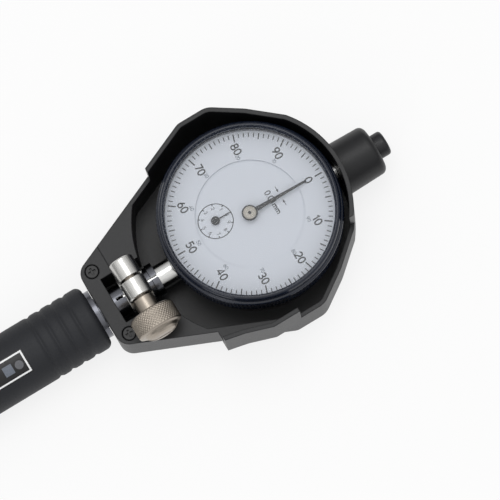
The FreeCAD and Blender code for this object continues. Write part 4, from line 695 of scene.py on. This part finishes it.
class GAUGE_OT_bezel(bpy.types.Operator):
    """Turn the knurled bezel"""
    bl_idname = "gauge.bezel"
    bl_label = "Bezel"

    def execute(self, context):
        bezel = settings("bezel")
        low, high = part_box("bezel")
        r = high.x / MM
        z0, z1 = low.z / MM, high.z / MM
        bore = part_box("scale_ring")[1].x / MM
        glass_low, glass_high = (v.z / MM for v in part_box("crystal"))
        side = [(bore, z0), (r - 0.6, z0), (r - 0.15, z0 + 0.2), (r, z0 + 0.7), (r, z1 - 3.6)]
        step = [(r - 0.15, z1 - 3.2), (r - 0.5, z1 - 3.05), (r - 0.85, z1 - 3.0), (r - 0.9, z1 - 2.85)]
        rim = [(r - 0.9, z1 - 1.1), (r - 1.0, z1 - 0.7), (r - 1.25, z1 - 0.35), (r - 1.6, z1 - 0.1), (r - 1.9, z1)]
        lip = [(r - 2.1, z1 - 0.08), (r - 2.2, z1 - 0.3), (r - 2.3, z1 - 0.62), (r - 2.55, z1 - 0.72)]
        glass = [(r - 2.6, glass_high), (r - 2.1, glass_high), (r - 2.1, glass_low), (r - 2.65, glass_low)]
        shelf = [(r - 2.65, SCALE_TOP / MM), (bore, SCALE_TOP / MM)]
        outline = side + step + rim + lip + glass + shelf
        profile = refine(outline, 0.45)

        def knurl(radius, along, angle):
            """Ridges on the outer side, fading out at its two ends."""
            side = np.clip((along - z0 - 0.9) / 0.3, 0, 1) * np.clip((z1 - 3.8 - along) / 0.3, 0, 1)
            ridge = 0.5 - 0.5 * np.cos(angle * bezel.knurl_count)
            return radius - bezel.knurl_depth * side * ridge * (radius > r - 0.3)

        segments = bezel.knurl_count * 6
        radius, along, angle = turned_grid(profile, segments, knurl)
        points = np.stack([radius * MM * np.cos(angle), radius * MM * np.sin(angle), along * MM], -1).reshape(-1, 3)
        faces = grid_faces(len(profile), segments, True, True)[:, ::-1]
        piece = new_piece("bezel_ring", points, faces, "moulded_abs_bezel", "bezel")
        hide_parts("bezel")
        return {"FINISHED"}


class GAUGE_OT_thumb_screw(bpy.types.Operator):
    """Turn the knurled thumb screw of the clamp"""
    bl_idname = "gauge.thumb_screw"
    bl_label = "Thumb Screw"

    def execute(self, context):
        clamp = settings("clamp")
        low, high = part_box("clamp_screw")
        end = high.x / MM
        head_r = (high.z - low.z) / 2 / MM
        shank_r, neck_r, neck_x = 2.0, 3.3, 5.5
        head_length, dome_height, slot_depth = 8.6, 2.0, 1.3
        start, face, dome_base = low.x / MM, end - head_length, end - dome_height
        shank = [(0.0, start), (shank_r - 0.3, start), (shank_r, start + 0.3), (shank_r, neck_x)]
        neck = [(3.2, neck_x), (neck_r, neck_x + 0.15), (neck_r, face - 0.15), (3.45, face)]
        head = [(head_r - 1.0, face), (head_r - 0.35, face + 0.35), (head_r, face + 0.9), (head_r, dome_base - 0.7),
                (head_r - 0.3, dome_base - 0.25), (head_r - 0.9, dome_base)]
        dome = [(5.75, dome_base), (5.6, dome_base + 0.1), (5.1, dome_base + 0.8), (4.3, dome_base + 1.45),
                (3.2, dome_base + 1.85), (1.8, end - 0.05), (0.0, end)]
        profile = refine(shank + neck + head + dome, 0.16)

        def diamonds(radius, along, angle):
            """Two sets of crossing helical grooves, so that diamonds stand between them."""
            lead = TAU * head_r / clamp.knurl_count
            first = np.abs(np.sin(0.5 * (angle * clamp.knurl_count + along / lead * TAU)))
            second = np.abs(np.sin(0.5 * (angle * clamp.knurl_count - along / lead * TAU)))
            side = np.clip((along - face - 0.5) / 0.3, 0, 1) * np.clip((dome_base - 0.45 - along) / 0.3, 0, 1)
            groove = 1 - np.minimum(first, second) ** 0.7
            return radius - clamp.knurl_depth * side * groove * (radius > head_r - 0.6)

        segments = clamp.knurl_count * 8
        radius, along, angle = turned_grid(profile, segments, diamonds)
        points = np.stack([along * MM, CLAMP_AXIS.y + radius * MM * np.cos(angle),
                           CLAMP_AXIS.z + radius * MM * np.sin(angle)], -1)
        half = clamp.slot_width / 2 * MM
        floor = (end - slot_depth) * MM
        near = np.abs(points[..., 2] - CLAMP_AXIS.z) < half
        points[..., 0] = np.where(near & (points[..., 0] > floor), floor, points[..., 0])
        points = points.reshape(-1, 3)
        faces = grid_faces(len(profile), segments, closed_columns=True)
        piece = new_piece("thumb_screw", points, faces, "nickelled_knob", "clamp_screw")
        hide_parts("clamp_screw")
        return {"FINISHED"}


class GAUGE_OT_grip(bpy.types.Operator):
    """Mould the grip and lay its label"""
    bl_idname = "gauge.grip"
    bl_label = "Grip and Label"

    def execute(self, context):
        grip = settings("grip")
        low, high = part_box("grip")
        r = high.x / MM
        top, bottom = high.y / MM, low.y / MM
        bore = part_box("main_tube")[1].x / MM
        end_r, gap, rows, segments = 2.2, 0.1, 400, 96
        edge = arc_path(r - end_r, top - end_r, end_r, end_r, 90, 0, 9)
        foot = arc_path(r - end_r, bottom + end_r, end_r, end_r, 0, -90, 9)
        side = np.stack([np.full(rows, r), np.linspace(top - end_r - gap, bottom + end_r + gap, rows)], 1)
        centres = top - grip.groove_start - grip.groove_pitch * np.arange(grip.groove_count)
        dip = np.exp(-((side[:, 1:2] - centres[None, :]) / grip.groove_width) ** 2).sum(1)
        side[:, 0] -= grip.groove_depth * dip
        profile = np.vstack([[(bore, top)], edge, side, foot, [(bore, bottom)]])
        radius, along, around = turned_grid(profile, segments)
        points = np.stack([radius * MM * np.sin(around), along * MM, AXIS_Z + radius * MM * np.cos(around)], -1)
        faces = grid_faces(len(profile), segments, True, True)[:, ::-1]
        piece = new_piece("grip_sleeve", points.reshape(-1, 3), faces, "nitrile_grip", "frame")
        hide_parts("grip")
        self.label(grip, r)
        return {"FINISHED"}

    def label(self, grip, r):
        """White frame and plain shapes on the label, wrapped round the grip."""
        low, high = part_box("grip_label")
        top, bottom = high.y / MM, low.y / MM
        film = high.z / MM - AXIS_Z / MM - r

        def wrap(points):
            """Across becomes an angle round the grip, and the height a small radius over the label."""
            around = points[:, 0] / (r * MM) + grip.label_turn
            radius = (r + film) * MM + 2 * LIFT
            return np.stack([radius * np.sin(around), points[:, 1], AXIS_Z + radius * np.cos(around)], -1)

        white = FlatPrint(0.0)
        inset = grip.frame_width / 2 + grip.frame_margin
        x, y0, y1 = grip.label_width / 2 - inset, bottom + inset, top - inset
        for y in (y0, y1):
            white.stroke([(across, y) for across in np.linspace(-x, x, 13)], grip.frame_width)
        for side in (-x, x):
            white.stroke([(side, y0 - grip.frame_width / 2), (side, y1 + grip.frame_width / 2)], grip.frame_width)
        white.piece("label_frame", "white_ink", "frame", "label_film", wrap)
        pale = FlatPrint(0.0)
        half, middle = 1.55, top - 6.6
        pale.stroke([(across, middle) for across in np.linspace(-half, half, 9)], 2 * half)
        pale.piece("label_square", "faint_ink", "frame", "label_film", wrap)
        disc = FlatPrint(0.0)
        for inner, outer in ((0.05, 0.7), (0.7, 1.35)):
            disc.ring(inner, outer, 32, 0.1, top - 2.9)
        disc.piece("label_disc", "grey_ink", "frame", "label_film", wrap)


class GAUGE_OT_stage(bpy.types.Operator):
    """Set the camera, the soft lamps and the pale floor"""
    bl_idname = "gauge.stage"
    bl_label = "Stage"

    def execute(self, context):
        stage = settings("stage")
        scene = context.scene
        scene.view_settings.view_transform = "Standard"
        self.camera(scene, stage)
        self.lamps(scene, stage)
        self.floor()
        return {"FINISHED"}

    def camera(self, scene, stage):
        data = bpy.data.cameras.new("camera")
        camera = bpy.data.objects.new("camera", data)
        scene.collection.objects.link(camera)
        scene.camera = camera
        data.lens = stage.lens
        data.sensor_width = 36.0
        data.clip_start, data.clip_end = 0.05, 20.0
        at, aim = Vector(stage.camera_at), Vector(stage.camera_aim)
        back = (at - aim).normalized()
        hint = Vector((math.cos(stage.top_heading), math.sin(stage.top_heading), 0.0))
        right = hint.cross(back).normalized()
        up = back.cross(right)
        camera.matrix_world = Matrix.Translation(at) @ Matrix((right, up, back)).transposed().to_4x4()

    def lamps(self, scene, stage):
        world = bpy.data.worlds.new("soft_sky")
        scene.world = world
        world.use_nodes = True
        tree = world.node_tree
        tree.nodes.clear()
        way = add_node(tree, "ShaderNodeTexCoord")
        axes = add_node(tree, "ShaderNodeSeparateXYZ", links={0: way.outputs["Generated"]})
        glow = ramp(tree, axes.outputs["Z"], [(0.0, stage.horizon), (1.0, stage.sky)])
        path = add_node(tree, "ShaderNodeLightPath")
        sky = add_node(tree, "ShaderNodeBackground", links={"Color": glow.outputs["Color"]})
        white = add_node(tree, "ShaderNodeBackground", {"Color": (1, 1, 1, 1), "Strength": 1.0})
        mix = add_node(tree, "ShaderNodeMixShader", links={0: path.outputs["Is Camera Ray"], 1: sky.outputs[0],
                                                           2: white.outputs[0]})
        add_node(tree, "ShaderNodeOutputWorld", links={"Surface": mix.outputs[0]})
        lamps = (("key_lamp", (-0.24, 0.05, 1.0), 0.5, stage.key),
                 ("fill_lamp", (0.5, -0.75, 0.6), 0.25, stage.key * stage.fill_share))
        for name, place, size, power in lamps:
            data = bpy.data.lights.new(name, "AREA")
            data.shape, data.size, data.energy = "SQUARE", size, power
            lamp = bpy.data.objects.new(name, data)
            scene.collection.objects.link(lamp)
            lamp.location = place
            lamp.rotation_mode = "QUATERNION"
            lamp.rotation_quaternion = Vector(place).to_track_quat("Z", "Y")

    def floor(self):
        """A wide pale floor that shows near white to the camera and in reflections, and keeps the shadow."""
        material_, tree, out = new_material("pale_floor")
        path = add_node(tree, "ShaderNodeLightPath")
        seen = add_node(tree, "ShaderNodeMath", {"operation": "MAXIMUM"},
                        {0: path.outputs["Is Camera Ray"], 1: path.outputs["Is Glossy Ray"]})
        share = add_node(tree, "ShaderNodeMath", {"operation": "MULTIPLY", 1: FLOOR_GLOW}, {0: seen.outputs[0]})
        paper = add_node(tree, "ShaderNodeBsdfDiffuse", {"Color": linear("F5F5F5")})
        white = add_node(tree, "ShaderNodeEmission", {"Color": (1, 1, 1, 1), "Strength": 1.0})
        mix = add_node(tree, "ShaderNodeMixShader", links={0: share.outputs[0], 1: paper.outputs[0],
                                                           2: white.outputs[0]})
        tree.links.new(mix.outputs[0], out.inputs["Surface"])
        half = 6.0
        mesh = bpy.data.meshes.new("floor")
        mesh.from_pydata([(-half, -half, 0), (half, -half, 0), (half, half, 0), (-half, half, 0)], [],
                         [(0, 1, 2, 3)])
        mesh.materials.append(material_)
        floor = bpy.data.objects.new("floor", mesh)
        bpy.context.scene.collection.objects.link(floor)
        floor.location.z = -LIFT


class GAUGE_PT_panel(bpy.types.Panel):
    """Buttons for each group of pieces"""
    bl_idname = "GAUGE_PT_panel"
    bl_label = "Dial Bore Gauge"
    bl_space_type = "VIEW_3D"
    bl_region_type = "UI"
    bl_category = "Gauge"

    def draw(self, context):
        for operator in OPERATORS:
            self.layout.operator(operator.bl_idname)


GROUPS = {"dial": GAUGE_PG_dial, "bezel": GAUGE_PG_bezel, "clamp": GAUGE_PG_clamp, "grip": GAUGE_PG_grip,
          "guard": GAUGE_PG_guard, "stage": GAUGE_PG_stage}
OPERATORS = (GAUGE_OT_stage, GAUGE_OT_finishes, GAUGE_OT_dial, GAUGE_OT_bezel, GAUGE_OT_thumb_screw,
             GAUGE_OT_grip)


def register():
    for group in (*GROUPS.values(), *OPERATORS, GAUGE_PT_panel):
        bpy.utils.register_class(group)
    for name, group in GROUPS.items():
        setattr(bpy.types.Scene, "gauge_" + name, PointerProperty(type=group))


def unregister():
    for name in GROUPS:
        delattr(bpy.types.Scene, "gauge_" + name)
    for group in (GAUGE_PT_panel, *reversed(OPERATORS), *reversed(list(GROUPS.values()))):
        bpy.utils.unregister_class(group)


def main():
    register()
    for operator in OPERATORS:
        group, name = operator.bl_idname.split(".")
        getattr(getattr(bpy.ops, group), name)()


if __name__ == "__main__":
    main()
